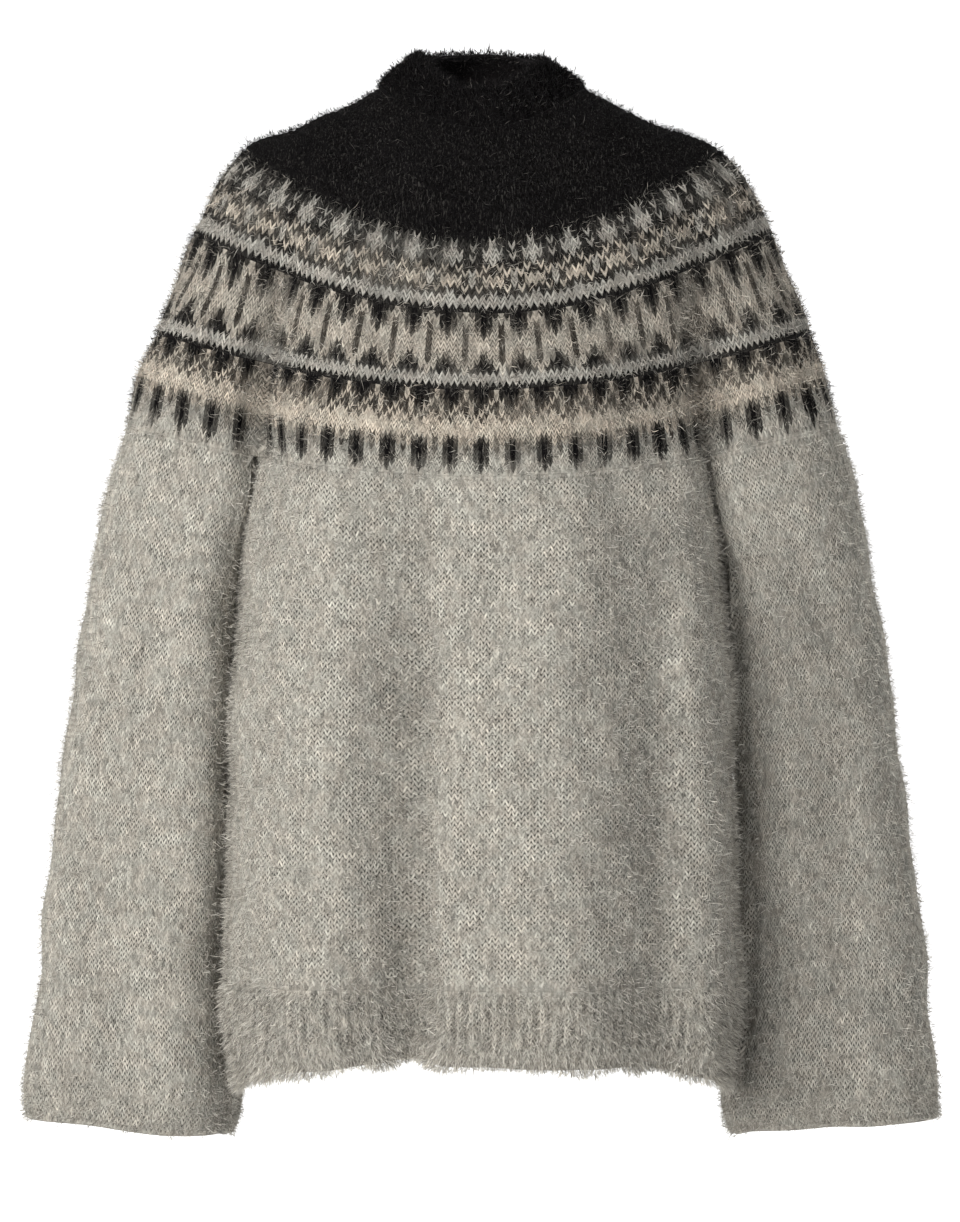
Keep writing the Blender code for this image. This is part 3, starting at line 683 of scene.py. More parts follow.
def legTones(relief):  # each leg and stitch has its own tone, with painted shade in a trough and painted light on a ridge
    rows, legs, _ = relief.shape
    tone = 1.0 + haze["tone"] * rng.standard_normal((rows, legs, 1))
    ofStitch = np.repeat(rng.standard_normal((rows, legs // 2, 1)), 2, axis=1)
    tone *= 1.0 + haze["stitchTone"] * haze["tone"] * ofStitch
    # painted shade in the troughs of the creases and painted light on their ridges
    tone *= 1.0 - np.clip(-relief * haze["troughPaintedShade"], -haze["ridgePaintedLightMost"], haze["troughPaintedShadeMost"])
    tone[0] *= haze["edgeTone"]
    tone[-1] *= haze["edgeTone"]
    return tone.clip(*haze["toneRange"])


def knitPiece(name, chart, material, strips=1, ribRelief=0.0, openTop=False, openFoot=False, drawnUp=0.0,
              cover=None):
    surface = surfaces[name]
    closed = surface["closed"]
    rowCount = sum(len(band["rows"]) for band in chart)
    length = np.linalg.norm(np.diff(surface["grids"][0], axis=0), axis=2).sum(axis=0).mean()
    width = np.linalg.norm(np.diff(surface["grids"][0], axis=1), axis=2).sum(axis=1).mean()
    topInset = (cloth["rim"] if openTop else cloth["seamGap"] / 2) / length
    footInset = (cloth["rim"] if openFoot else cloth["seamGap"] / 2) / length
    sideInset = 0.0 if closed else cloth["seamGap"] / 2 / width
    sideStart, sideRun = cloth["sideCover"]
    cover = {"all": 0.0, "foot": 0.0, "footRows": 1.0, "top": 0.0, "topRows": 2.5, "sides": 0.0,
             **(cover or {})}

    def downAt(row, share=None):
        down = topInset + (1.0 - topInset - footInset) * row / rowCount
        if not drawnUp or share is None:
            return down
        return down - drawnUp * armWeight(down, share)

    def alongAt(share):
        return share if closed else sideInset + (1.0 - 2 * sideInset) * share

    def ribFade(row):  # ribs begin and end softly where they join plain knitting
        fade = 1.0 if openTop else smooth(row / cloth["ribFade"])
        return fade * (1.0 if openFoot else smooth((rowCount - row) / cloth["ribFade"]))

    def coverAt(row, share):  # how far the nap hides the stitches
        nearFoot = cover["foot"] * smooth((row - rowCount + cover["footRows"]) / cover["footRows"])
        nearTop = cover["top"] * smooth((cover["topRows"] - row) / cover["topRows"])
        nearSide = cover["sides"] * smooth((np.abs(share - 0.5) - sideStart) / sideRun)
        return np.maximum(np.maximum(nearFoot, nearTop), np.maximum(nearSide, cover["all"]))

    points, pointRows, triangles, colours = [], [], [], []
    knitMap, bakePlace, inside, flat = [], [], [], []
    count = 0

    def addPoints(places, rows):  # the numbers of the new points
        nonlocal count
        points.append(places.reshape(-1, 3))
        pointRows.append(rows.ravel())
        count += rows.size
        return count - rows.size + np.arange(rows.size).reshape(rows.shape)

    def addFaces(corners, colour, knitPlaces, bakePlaces, isInside=False, isFlat=False):
        triangles.append(corners)
        colours.append(np.broadcast_to(colour, (len(corners), 4)))
        knitMap.append(knitPlaces)
        bakePlace.append(bakePlaces)
        inside.append(np.full(len(corners), isInside))
        flat.append(np.full(len(corners), isFlat))

    def addLine(row, shares, lift):  # one line of points across, at a chart row
        place, outward, _ = lookUp(surface, np.full(len(shares), downAt(row)), alongAt(shares))
        return addPoints(place + outward * lift, np.full(len(shares), float(row))), shares

    def addStrip(upper, lower, stitches, colour, isInside=False, isFlat=False):
        corners, shares = zipLines(upper, lower, closed)
        rows = np.concatenate(pointRows)[corners]
        addFaces(corners, [*(colour * haze["joinTone"]), haze["joinCover"]],
                 np.stack([shares * stitches, rows + 0.45], axis=2),
                 np.stack([shares, rows / rowCount], axis=2), isInside, isFlat)

    start = 0
    outerLines = []
    sideRows = [[], []]
    for bandNumber, band in enumerate(chart):
        stitches, rows = band["stitches"], len(band["rows"])
        legs = 2 * stitches
        places = np.arange(legs if closed else legs + 1)
        shares = (places / 2 - (0.5 - band["turn"] if closed else 0.0)) / stitches
        slant = band.get("slant", cloth["slant"])
        shift = np.tile(np.where(places % 2 == 0, -1.0, 1.0) * slant, (rows + 1, 1))
        shift[0] = cloth["bandGap"] if bandNumber else 0.0
        shift[-1] = -cloth["bandGap"] if bandNumber < len(chart) - 1 else 0.0
        lineRows = start + np.arange(rows + 1)[:, None] + shift
        # a rib is a raised knit column and a sunk purl column
        ribAt = np.where(places % 4 == 1, 1.0, np.where(places % 4 == 3, -1.0, 0.0)) * ribRelief
        dip = np.full((rows + 1, 1), -cloth["stitchDip"])
        dip[0] *= 1.0 if bandNumber else 0.0
        dip[-1] *= 1.0 if bandNumber < len(chart) - 1 else 0.0
        lineShares = np.broadcast_to(alongAt(shares), lineRows.shape)
        place, outward, _ = lookUp(surface, downAt(lineRows, lineShares), lineShares)
        cornerPoints = place + outward * (ribAt[None] * ribFade(lineRows) + dip)[..., None]
        corners = addPoints(cornerPoints, np.tile(start + np.arange(rows + 1.0)[:, None], len(places)))

        legPlaces = np.arange(legs)
        legShares = shares[0] + (legPlaces + 0.5) / legs
        ribMiddle = np.where(legPlaces % 4 < 2, cloth["ribMiddle"], -cloth["ribMiddle"]) * ribRelief
        middleRows = np.repeat(start + np.arange(rows)[:, None] + 0.5, legs, axis=1)
        jitter = 1.0 + cloth["jitter"] * rng.standard_normal(middleRows.shape)
        middleShares = np.broadcast_to(alongAt(legShares), middleRows.shape)
        place, outward, relief = lookUp(surface, downAt(middleRows, middleShares), middleShares)
        middleLift = ribMiddle[None] * ribFade(middleRows) + cloth["stitchRise"] * jitter
        middles = addPoints(place + outward * middleLift[..., None], middleRows)

        cell, legU, legV = legFaces(corners, middles, start)
        tone = legTones(relief)
        legColours = np.repeat(hazedColours(band), 2, axis=1) * tone
        legCover = coverAt(middleRows, np.mod(legShares, 1.0) if closed else legShares[None])[..., None]
        legColours = np.concatenate([legColours, np.broadcast_to(legCover, tone.shape)], axis=2)
        addFaces(cell.reshape(-1, 3), np.repeat(legColours.reshape(-1, 4), 4, axis=0),
                 np.stack([legU, legV], axis=-1).reshape(-1, 3, 2),
                 np.stack([legU * 2 / legs, legV / rowCount], axis=-1).reshape(-1, 3, 2))
        if outerLines:
            addStrip(outerLines[-1], (corners[0], shares), stitches, bandColours(band)[0, 0])
        else:
            outerLines.append((corners[0], shares))
        outerLines.append((corners[-1], shares))
        sideRows[0] += list(corners[:, 0])
        sideRows[1] += list(corners[:, -1])
        start += rows

    # the chain goes on round the foot, up the plain inside, and round the top back to the first line
    footColour, topColour = bandColours(chart[-1])[-1, 0], bandColours(chart[0])[0, 0]
    # painted light on the collar's inside, which lies in shade
    if openTop:
        footColour, topColour = footColour * haze["insidePaintedLight"][0], topColour * haze["insidePaintedLight"][1]
    stitches = chart[-1]["stitches"]
    rimShares = np.arange(stitches if closed else stitches + 1) / stitches
    innerShares = np.arange(stitches // 2 if closed else stitches // 2 + 1) / (stitches // 2)
    depth = cloth["thickness"]

    def addRim(isOpen, edge, away, angles):  # a round edge of an open end
        lines = []
        for turn in map(math.radians, angles if isOpen else ()):
            beyond = cloth["rim"] / length * math.sin(turn) * rowCount / (1.0 - topInset - footInset)
            lines.append(addLine(edge + away * beyond, rimShares, -depth / 2 * (1 - math.cos(turn))))
        return lines

    footLines = addRim(openFoot, rowCount, 1, (45, 90, 135))
    innerRows = np.linspace(rowCount, 0.0, rowCount // 2 + 1)
    innerLines = [addLine(row, innerShares, -depth) for row in innerRows]
    topLines = addRim(openTop, 0, -1, (135, 90, 45))
    chain = [outerLines[-1], *footLines, *innerLines, *topLines, outerLines[0]]
    for number, (first, second) in enumerate(zip(chain[:-1], chain[1:])):
        nearFoot = number <= len(footLines) + len(innerLines) // 2
        atSeam = (number == 0 and not openFoot) or (number == len(chain) - 2 and not openTop)
        addStrip(first, second, stitches, footColour if nearFoot else topColour,
                 len(footLines) < number < len(chain) - 2, atSeam)
    if not closed:
        rowOf = np.concatenate(pointRows)
        innerUp = innerLines[::-1]
        for end, (outerSide, lineEnd) in enumerate(((sideRows[0], 0), (sideRows[1], -1))):
            outer = np.array(outerSide + [line[0][lineEnd] for line in footLines[:2]])
            inner = np.array([line[0][lineEnd] for line in innerUp]
                             + [line[0][lineEnd] for line in footLines[2:]])
            pair = ((outer, rowOf[outer]), (inner, rowOf[inner]))
            corners, shares = zipLines(*(pair if end == 0 else pair[::-1]), False)
            addFaces(corners, [*footColour, haze["sideCover"]],
                     np.stack([np.full(shares.shape, 0.25), shares], axis=2),
                     np.stack([np.full(shares.shape, end * 1.0), shares / rowCount], axis=2), True, True)

    bake = bakeMap(np.concatenate(bakePlace), np.concatenate(inside), strips)
    maps = {"knit": np.concatenate(knitMap), "OFBake": bake}
    points, triangles, colours, flat = (np.concatenate(part) for part in (points, triangles, colours, flat))
    return meshPiece(name + "_knit", points, triangles, colours, maps, material, flat)


def bakeMap(places, inside, strips):  # the skin in level strips over a low band for the plain inside
    innerBand, margin = 0.12, 0.004
    along, down = places[..., 0].copy(), np.clip(places[..., 1], 0.0, 1.0)
    along -= np.floor(along.mean(axis=1, keepdims=True))
    strip = np.clip(np.floor(along.mean(axis=1, keepdims=True) * strips), 0, strips - 1)
    stripAlong = np.clip(along * strips - strip, 0.0, 1.0)
    height = (1.0 - innerBand) / strips
    skin = np.stack([stripAlong, innerBand + (strip + margin + (1 - 2 * margin) * down) * height], axis=2)
    plain = np.stack([np.clip(along, 0.0, 1.0), down * (innerBand - margin)], axis=2)
    return np.where(inside[:, None, None], plain, skin) * (1 - 2 * margin) + margin


def addNode(tree, kind, inputs=None, **settings):
    node = tree.nodes.new(kind)
    for name, value in settings.items():
        setattr(node, name, value)
    for socket, value in (inputs or {}).items():
        if isinstance(value, bpy.types.NodeSocket):
            tree.links.new(value, node.inputs[socket])
        else:
            node.inputs[socket].default_value = value
    return node


def calculate(tree, operation, *values):
    return addNode(tree, "ShaderNodeMath", dict(enumerate(values)), operation=operation).outputs[0]


def rangeOf(tree, value, low, high, toLow, toHigh):
    inputs = {"Value": value, "From Min": low, "From Max": high, "To Min": toLow, "To Max": toHigh}
    return addNode(tree, "ShaderNodeMapRange", inputs, interpolation_type="SMOOTHSTEP").outputs["Result"]


def times(tree, first, second):
    return calculate(tree, "MULTIPLY", first, second)


def restOf(tree, share):
    return calculate(tree, "SUBTRACT", 1.0, share)


def noiseOf(tree, place, scale, detail, roughness=0.5):
    inputs = {"Vector": place, "Scale": scale, "Detail": detail, "Roughness": roughness}
    return addNode(tree, "ShaderNodeTexNoise", inputs).outputs["Fac"]


def vectorOf(tree, operation, inputs):
    return addNode(tree, "ShaderNodeVectorMath", inputs, operation=operation).outputs[0]


def mixOf(tree, share, first, second):  # inputs 6 and 7 of the node are its two colours
    inputs = {"Factor": share, 6: first, 7: second}
    return addNode(tree, "ShaderNodeMix", inputs, data_type="RGBA").outputs[2]


def newMaterial(name):
    material = bpy.data.materials.new(name)
    material.use_nodes = True
    return material, material.node_tree, material.node_tree.nodes["Principled BSDF"]


def strokesOf(tree, place, turns):  # long thin marks that lie one way
    size, length = fibres["strokeSize"], fibres["strokeLength"]
    inputs = {"Vector": place, "Rotation": [math.radians(turn) for turn in turns],
              "Scale": (1 / size, 1 / size, 1 / length)}
    return noiseOf(tree, addNode(tree, "ShaderNodeMapping", inputs).outputs["Vector"], 1.0, 2.0)


# open: from where to the edge of a stitch its dark opening starts; ends: how far the ends of a leg close it;
# cloud, fleck and streak: spots of 33 mm, spots of 2 mm and strokes; lint: pale fibres; purlShade: how far
# painted shade darkens the sunk columns of a rib
woolLooks = {
    "blackWool": {"gapDark": 0.60, "open": 0.40, "ends": 0.30, "cloud": 0.30, "fleck": 0.50, "streak": 0.6,
                  "lint": 0.015, "sheen": 0.0, "purlShade": 0.35},
    "patternWool": {"gapDark": 0.80, "open": 0.18, "ends": 0.30, "cloud": 0.14, "fleck": 0.40, "streak": 0.6,
                    "lint": 0.030, "sheen": 0.02},
    "heatherWool": {"gapDark": 0.97, "open": 0.20, "ends": 0.50, "cloud": 0.10, "fleck": 0.40, "streak": 0.40,
                    "lint": 0.0, "sheen": 0.05},
    "ribWool": {"gapDark": 0.84, "open": 0.20, "ends": 0.50, "cloud": 0.14, "fleck": 0.44, "streak": 0.90,
                "lint": 0.0, "sheen": 0.05, "purlShade": 0.40},
}
heather = {"warm": (1.018, 0.998, 0.978, 1.0), "cool": (0.982, 1.0, 0.996, 1.0),
           "lint": (0.36, 0.34, 0.31, 1.0)}
# waves of noise per metre, and the ranges that they are turned into
fibres = {
    "napScale": 78.0, "nap": (0.38, 0.58, 0.26, 1.0), "matted": 0.30,
    "fleckScale": 560.0, "cloudScale": 30.0, "driftScale": 90.0, "drift": (0.38, 0.62, 0.0, 1.0),
    "strokeTurns": ((8, 40, 0), (-6, -36, 15)), "strokeSize": 0.0011, "strokeLength": 0.008,
    "rough": (0.3, 0.7, 0.88, 1.0), "openDepth": 0.8, "bump": 0.0006,
    "hairScale": 240.0, "hairLight": (0.3, 0.7, 0.86, 1.12), "hairRough": (0.3, 0.7, 0.7, 0.85),
}


def woolMaterial(name, look):
    material, tree, shader = newMaterial(name)
    attribute = addNode(tree, "ShaderNodeAttribute", attribute_name="yarn")
    yarn, cover = attribute.outputs["Color"], attribute.outputs["Alpha"]
    knit = addNode(tree, "ShaderNodeUVMap", uv_map="knit").outputs["UV"]
    place = addNode(tree, "ShaderNodeTexCoord").outputs["Object"]
    knitXy = addNode(tree, "ShaderNodeSeparateXYZ", {0: knit})
    across, down = knitXy.outputs["X"], knitXy.outputs["Y"]

    # each leg is a bright stroke that leans in towards the foot of its V, between dark openings that are
    # deepest at the middle and the sides of the stitch
    fromSide = times(tree, calculate(tree, "PINGPONG", across, 0.5), 2.0)
    toEnd = calculate(tree, "ABSOLUTE", calculate(tree, "MULTIPLY_ADD", fromSide, 2.0, -1.0))
    rowPlace = calculate(tree, "FRACT", down)
    toEdge = calculate(tree, "ABSOLUTE", calculate(tree, "MULTIPLY_ADD", rowPlace, 2.0, -1.0))
    reach = calculate(tree, "MULTIPLY_ADD", toEnd, look["ends"], 1.0 - look["ends"])
    opening = rangeOf(tree, times(tree, toEdge, reach), look["open"], 0.88, 0.0, 1.0)
    nap = rangeOf(tree, noiseOf(tree, place, fibres["napScale"], 3.0), *fibres["nap"])
    napMask = times(tree, nap, restOf(tree, cover))
    openShare = times(tree, times(tree, opening, napMask), look["gapDark"])
    matted = times(tree, restOf(tree, napMask), look["gapDark"] * fibres["matted"])
    light = calculate(tree, "SUBTRACT", restOf(tree, openShare), matted)
    # painted shade darkens the sunk purl columns of a rib
    if "purlShade" in look:
        fromPurl = calculate(tree, "PINGPONG", calculate(tree, "ADD", across, 0.5), 1.0)
        sunkShade = times(tree, rangeOf(tree, fromPurl, 0.15, 0.70, look["purlShade"], 0.0), napMask)
        light = times(tree, light, restOf(tree, sunkShade))

    strokeSum = calculate(tree, "ADD", *(strokesOf(tree, place, turns) for turns in fibres["strokeTurns"]))
    fleck = noiseOf(tree, place, fibres["fleckScale"], 2.0)
    cloud = noiseOf(tree, place, fibres["cloudScale"], 4.0, 0.6)
    for value, middle, amount in ((strokeSum, 1.0, look["streak"]), (fleck, 0.5, look["fleck"] * 2),
                                  (cloud, 0.5, look["cloud"] * 2)):
        factor = calculate(tree, "MULTIPLY_ADD", calculate(tree, "SUBTRACT", value, middle), amount, 1.0)
        light = times(tree, light, factor)
    lit = vectorOf(tree, "SCALE", {0: yarn, "Scale": light})

    # warm and cool fibres drift through the yarn
    drift = rangeOf(tree, noiseOf(tree, place, fibres["driftScale"], 3.0), *fibres["drift"])
    tinted = vectorOf(tree, "MULTIPLY", {0: lit, 1: mixOf(tree, drift, heather["warm"], heather["cool"])})
    lintShare = rangeOf(tree, strokeSum, 1.02, 1.34, 0.0, look["lint"] * 3)
    tree.links.new(mixOf(tree, lintShare, tinted, heather["lint"]), shader.inputs["Base Color"])

    height = calculate(tree, "SUBTRACT", fleck, times(tree, openShare, fibres["openDepth"]))
    bump = addNode(tree, "ShaderNodeBump", {"Height": height, "Strength": 0.5, "Distance": fibres["bump"]})
    tree.links.new(bump.outputs["Normal"], shader.inputs["Normal"])
    tree.links.new(rangeOf(tree, fleck, *fibres["rough"]), shader.inputs["Roughness"])
    shader.inputs["Specular IOR Level"].default_value = 0.06
    shader.inputs["Sheen Weight"].default_value = look["sheen"]
    shader.inputs["Sheen Roughness"].default_value = 0.55
    return material


def hairMaterial():
    material, tree, shader = newMaterial("mohairNap")
    yarn = addNode(tree, "ShaderNodeAttribute", attribute_name="yarn").outputs["Color"]
    place = addNode(tree, "ShaderNodeTexCoord").outputs["Object"]
    fleck = noiseOf(tree, place, fibres["hairScale"], 1.0)
    lit = vectorOf(tree, "SCALE", {0: yarn, "Scale": rangeOf(tree, fleck, *fibres["hairLight"])})
    tree.links.new(lit, shader.inputs["Base Color"])
    tree.links.new(rangeOf(tree, fleck, *fibres["hairRough"]), shader.inputs["Roughness"])
    shader.inputs["Specular IOR Level"].default_value = 0.10
    shader.inputs["Sheen Weight"].default_value = 0.0
    return material


wools = {name: woolMaterial(name, look) for name, look in woolLooks.items()}
mohair = hairMaterial()
print("wools mixed")

# loose hairs by the yarn they grow from: share and linear colour of each kind
hairKinds = {
    "black": ((0.66, (0.006, 0.0056, 0.0058)), (0.28, (0.016, 0.015, 0.015)), (0.06, (0.060, 0.056, 0.052))),
    "dark": ((0.40, (0.010, 0.009, 0.009)), (0.36, (0.11, 0.103, 0.092)), (0.24, (0.32, 0.30, 0.265))),
    "patterned": ((0.46, (0.46, 0.435, 0.385)), (0.28, (0.24, 0.22, 0.19)), (0.26, (0.022, 0.020, 0.018))),
    "light": ((0.58, (0.54, 0.515, 0.465)), (0.30, (0.36, 0.34, 0.30)), (0.12, (0.12, 0.112, 0.10))),
}
naps = {
    "collar": {"hairs": 15000, "length": 0.0066, "lift": 26, "downward": 0.0, "wide": 1.5},
    "yoke": {"hairs": 65000, "length": 0.0078, "lift": 26, "downward": 0.3},
    "body_front": {"hairs": 68000, "length": 0.0084, "lift": 26, "downward": 0.5},
    "body_back": {"hairs": 35000, "length": 0.0084, "lift": 26, "downward": 0.5},
    "hem_rib_front": {"hairs": 27000, "length": 0.0100, "lift": 24, "downward": 2.2},
    "hem_rib_back": {"hairs": 16000, "length": 0.0100, "lift": 24, "downward": 2.2},
    "sleeve_left": {"hairs": 46500, "length": 0.0080, "lift": 26, "downward": 0.5},
    "sleeve_right": {"hairs": 46500, "length": 0.0080, "lift": 26, "downward": 0.5},
    "bent": 0.28,          # share of long bent hairs; the rest are a short straight fuzz
    "bentWidth": 0.00030,
    "fuzzWidth": 0.00042,
    "bentLength": 1.15,
    "fuzzLength": 0.62,
    "lengthSpread": 0.38,
    "longest": 0.0128,
    "fuzzLift": 24,
    "liftSpread": 18,
    "liftRange": (4, 66),
    "curl": 0.38,
    "droop": 0.9,          # how far the second half of a long hair lies down again
    "roll": 0.8,
    "widthRange": (0.7, 0.6),   # least width, and how much it varies
    "rooted": 0.0003,      # how deep a hair starts
    "footReach": 0.12,     # share of a rib or cuff over which hairs crowd towards its edge
    "sideReach": 0.06,     # and of a front or back towards its sides
    "topReach": 0.30,
    "topUpward": 1.2,      # the collar's crowded hairs stand up from its edge
    "insideDepth": 0.60,   # how far down the inside of the collar is napped too
    "insideShare": 0.40,
    # how far painted light brightens the hairs on the inside of the collar
    "insideHairPaintedLight": 3.0,
    "lumps": (0.45, 43, 17),   # how the hairs of a rib's edge wave in length, and how often
    "partLight": 1.13,     # hairs of a rib between the partings over its sunk columns
    "partEnd": (0.86, 0.2),
    "ownYarn": (0.2, 0.4), # share of hairs of the stitch's own dark or light yarn
    "ownLight": 1.1,
    "toneSpread": 0.15,
    "toneRange": (0.5, 1.5),
}


def hairColours(chart, down, along):
    yarn, plain = yarnAt(chart, down, along)
    dark = yarn.sum(axis=1) < haze["darkUnder"]
    patterned = ~plain
    chance = rng.random(len(down))
    colour = np.zeros((len(down), 3))
    for kind, wanted in (("black", dark & plain), ("dark", dark & patterned),
                         ("patterned", ~dark & patterned), ("light", ~dark & plain)):
        passed = 0.0
        for share, shade in hairKinds[kind]:
            picked = wanted & (chance >= passed) & (chance < passed + share + 1e-9)
            colour[picked] = shade
            passed += share
    ownYarn = rng.random(len(down)) < np.where(dark, *naps["ownYarn"])
    colour[ownYarn] = yarn[ownYarn] * naps["ownLight"]
    tone = 1.0 + naps["toneSpread"] * rng.standard_normal(len(down))
    colour *= tone.clip(*naps["toneRange"])[:, None]
    return np.column_stack([colour, np.ones(len(down))])


def growNap(name, chart, crowdFoot=0.0, crowdSides=0.0, crowdTop=0.0, insideToo=False, locks=0.0,
            drawnUp=0.0):
    nap = naps[name]
    surface = surfaces[name]
    points = surface["grids"][0]
    if surface["closed"]:
        points = np.concatenate([points, points[:, :1]], axis=1)
    corner = points[:-1, :-1]
    cells = np.linalg.norm(np.cross(points[1:, :-1] - corner, points[:-1, 1:] - corner), axis=2)
    rows, columns = cells.shape
    downShare = (np.arange(rows) + 0.5)[:, None] / rows
    weight = cells * (1.0 + crowdFoot * smooth((downShare - 1.0 + naps["footReach"]) / naps["footReach"])
                      + crowdTop * smooth(1.0 - downShare / naps["topReach"]))
    if not surface["closed"]:
        alongShare = (np.arange(columns) + 0.5) / columns
        fromSide = 0.5 - np.abs(alongShare - 0.5)
        weight = weight * (1.0 + crowdSides * smooth(1.0 - fromSide / naps["sideReach"]))
    size = nap["hairs"]
    chosen = rng.choice(weight.size, size, p=weight.ravel() / weight.sum())
    down = (chosen // columns + rng.random(size)) / rows
    along = (chosen % columns + rng.random(size)) / columns
    root, outward, _ = lookUp(surface, down, along)
    inner = rng.random(size) < (naps["insideShare"] if insideToo else 0.0)
    if insideToo:
        down[inner] *= naps["insideDepth"]
        root, outward, _ = lookUp(surface, down, along)
        root[inner] -= outward[inner] * cloth["thickness"]
        outward[inner] *= -1.0
    turned = np.where(down > 0.99, -1.0, 1.0)
    downhill = lookUp(surface, down + 0.004 * turned, along)[0] - lookUp(surface, down, along)[0]
    downhill *= turned[:, None]
    downhill /= np.linalg.norm(downhill, axis=1, keepdims=True)
    sideways = np.cross(downhill, outward)

    bent = np.arange(size) < naps["bent"] * size
    length = nap["length"] * np.where(bent, naps["bentLength"], naps["fuzzLength"])
    length *= np.exp(naps["lengthSpread"] * rng.standard_normal(size))
    if locks:
        amount, often, drift = naps["lumps"]
        lumps = amount * np.sin(along * often + 2.0 * np.sin(along * drift))
        length *= 1.0 + lumps * smooth((down - 0.75) / 0.2)
    length = np.minimum(length, naps["longest"])
    heading = rng.vonmises(0.0, nap["downward"], size)
    if crowdTop:
        upward = rng.vonmises(math.pi, naps["topUpward"], size)
        heading = np.where(down < naps["topReach"], upward, heading)
    lift = nap["lift"] + np.where(bent, 0.0, naps["fuzzLift"])
    lift = lift + naps["liftSpread"] * rng.standard_normal(size)
    lift = np.radians(np.clip(lift, *naps["liftRange"]))
    level = downhill * np.cos(heading)[:, None] + sideways * np.sin(heading)[:, None]
    first = level * np.cos(lift)[:, None] + outward * np.sin(lift)[:, None]
    second = first + naps["curl"] * rng.standard_normal((size, 3))
    second = second - outward * (naps["droop"] * np.sin(lift))[:, None]
    second /= np.linalg.norm(second, axis=1, keepdims=True)
    start = root - outward * naps["rooted"]
    middle = start + first * (length * 0.5)[:, None]
    tip = np.where(bent[:, None], middle + second * (length * 0.5)[:, None], start + first * length[:, None])
    side = np.cross(first, outward)
    side /= np.linalg.norm(side, axis=1, keepdims=True)
    roll = naps["roll"] * rng.standard_normal(size)
    across = side * np.cos(roll)[:, None] + np.cross(side, first) * np.sin(roll)[:, None]
    least, more = naps["widthRange"]
    width = np.where(bent, naps["bentWidth"], naps["fuzzWidth"]) * (least + more * rng.random(size))
    width *= nap.get("wide", 1.0)
    half = across * (width / 2)[:, None]

    places, triangles, bake, hairOf = hairFaces(bent, start, middle, tip, half)
    shades = hairColours(chart, down + drawnUp * armWeight(down, along), along)
    # painted light on the hairs inside the collar
    shades[inner, :3] *= naps["insideHairPaintedLight"]
    if locks:  # hairs part over the sunk columns of a rib, and painted shade darkens the hairs there
        column = along * chart[0]["stitches"] + 0.5
        fromPurl = np.abs(column % 2 - 1.0)
        depth = rng.random((6, chart[0]["stitches"] + 2))[(down * 5.99).astype(int), column.astype(int)]
        partedShade = locks * smooth((fromPurl - 0.35) / 0.5) * smooth(depth * 1.4 - 0.2)
        end, run = naps["partEnd"]
        partedShade *= smooth((end - down) / run)
        shades[:, :3] *= (naps["partLight"] - partedShade)[:, None]
    return meshPiece(name + "_nap", places, triangles, shades[hairOf], {"OFBake": bake}, mohair)


# a long hair is two triangles that meet at its widest place, its middle, and a short one is one triangle
def hairFaces(bent, start, middle, tip, half):
    long, short = np.flatnonzero(bent), np.flatnonzero(~bent)
    longPlaces = np.stack([start, middle - half, middle + half, tip], axis=1)[long]
    shortPlaces = np.stack([start, start * 0.4 + tip * 0.6 + 2 * half, tip], axis=1)[short]
    longTriangles = np.array([(0, 1, 2), (1, 3, 2)])[None] + 4 * np.arange(len(long))[:, None, None]
    shortTriangles = 4 * len(long) + np.arange(3 * len(short)).reshape(-1, 3)
    places = np.concatenate([longPlaces.reshape(-1, 3), shortPlaces.reshape(-1, 3)])
    triangles = np.concatenate([longTriangles.reshape(-1, 3), shortTriangles])
    hairOf = np.concatenate([np.repeat(long, 2), short])
    longSpots = [[(0.5, 0.1), (0.15, 0.5), (0.85, 0.5)], [(0.15, 0.5), (0.5, 0.9), (0.85, 0.5)]]
    shortSpot = [[(0.2, 0.1), (0.9, 0.6), (0.2, 0.9)]]
    spots = np.concatenate([np.tile(longSpots, (len(long), 1, 1)), np.tile(shortSpot, (len(short), 1, 1))])
    perSide = math.ceil(math.sqrt(len(bent)))
    cell = np.stack([hairOf % perSide, hairOf // perSide], axis=1)
    return places, triangles, (cell[:, None] + spots) / perSide, hairOf


# how each piece is knitted, and the flat size it would have off the body
panel = {"chart": "body", "wool": "heatherWool", "slot": "grey_wool", "nap": {"crowdSides": 3.0},
         "knit": {"cover": {"sides": 0.7, "foot": 0.9, "footRows": 2.5, "top": 0.7, "topRows": 2.0}}}
rib = {"chart": "hem", "wool": "ribWool", "slot": "grey_rib",
       "nap": {"crowdFoot": 4.0, "crowdSides": 2.0, "locks": 0.60},
       "knit": {"ribRelief": hem["ribRelief"], "openFoot": True,
                "cover": {"foot": 0.95, "footRows": 6.0, "top": 0.6, "sides": 0.8}}}
arm = {"chart": "sleeve", "wool": "heatherWool", "slot": "grey_wool", "nap": {"crowdFoot": 1.6},
       "knit": {"openFoot": True,
                "cover": {"foot": 0.5, "footRows": 3.0, "top": 0.5, "topRows": 1.5}}}
pieces = {
    "collar": {"chart": "collar", "wool": "blackWool", "slot": "black_wool", "flat": (0.474, 0.034),
               "nap": {"crowdTop": 3.5, "insideToo": True},
               "knit": {"ribRelief": collar["ribRelief"], "openTop": True, "cover": {"all": 0.4}}},
    "yoke": {"chart": "yoke", "wool": "patternWool", "slot": "yoke_wool", "flat": (1.336, 0.300),
             "area": 0.310, "nap": {"drawnUp": yoke["armLift"]},
             "knit": {"strips": 2, "drawnUp": yoke["armLift"], "cover": {"foot": 0.7, "footRows": 1.5}}},
    "body_front": {"flat": (0.495, 0.372), **panel},
    "body_back": {"flat": (0.490, 0.375), **panel},
    "hem_rib_front": {"flat": (0.495, 0.066), **rib},
    "hem_rib_back": {"flat": (0.491, 0.066), **rib},
    "sleeve_left": {"flat": (0.407, 0.530), **arm},
    "sleeve_right": {"flat": (0.407, 0.530), **arm},
}
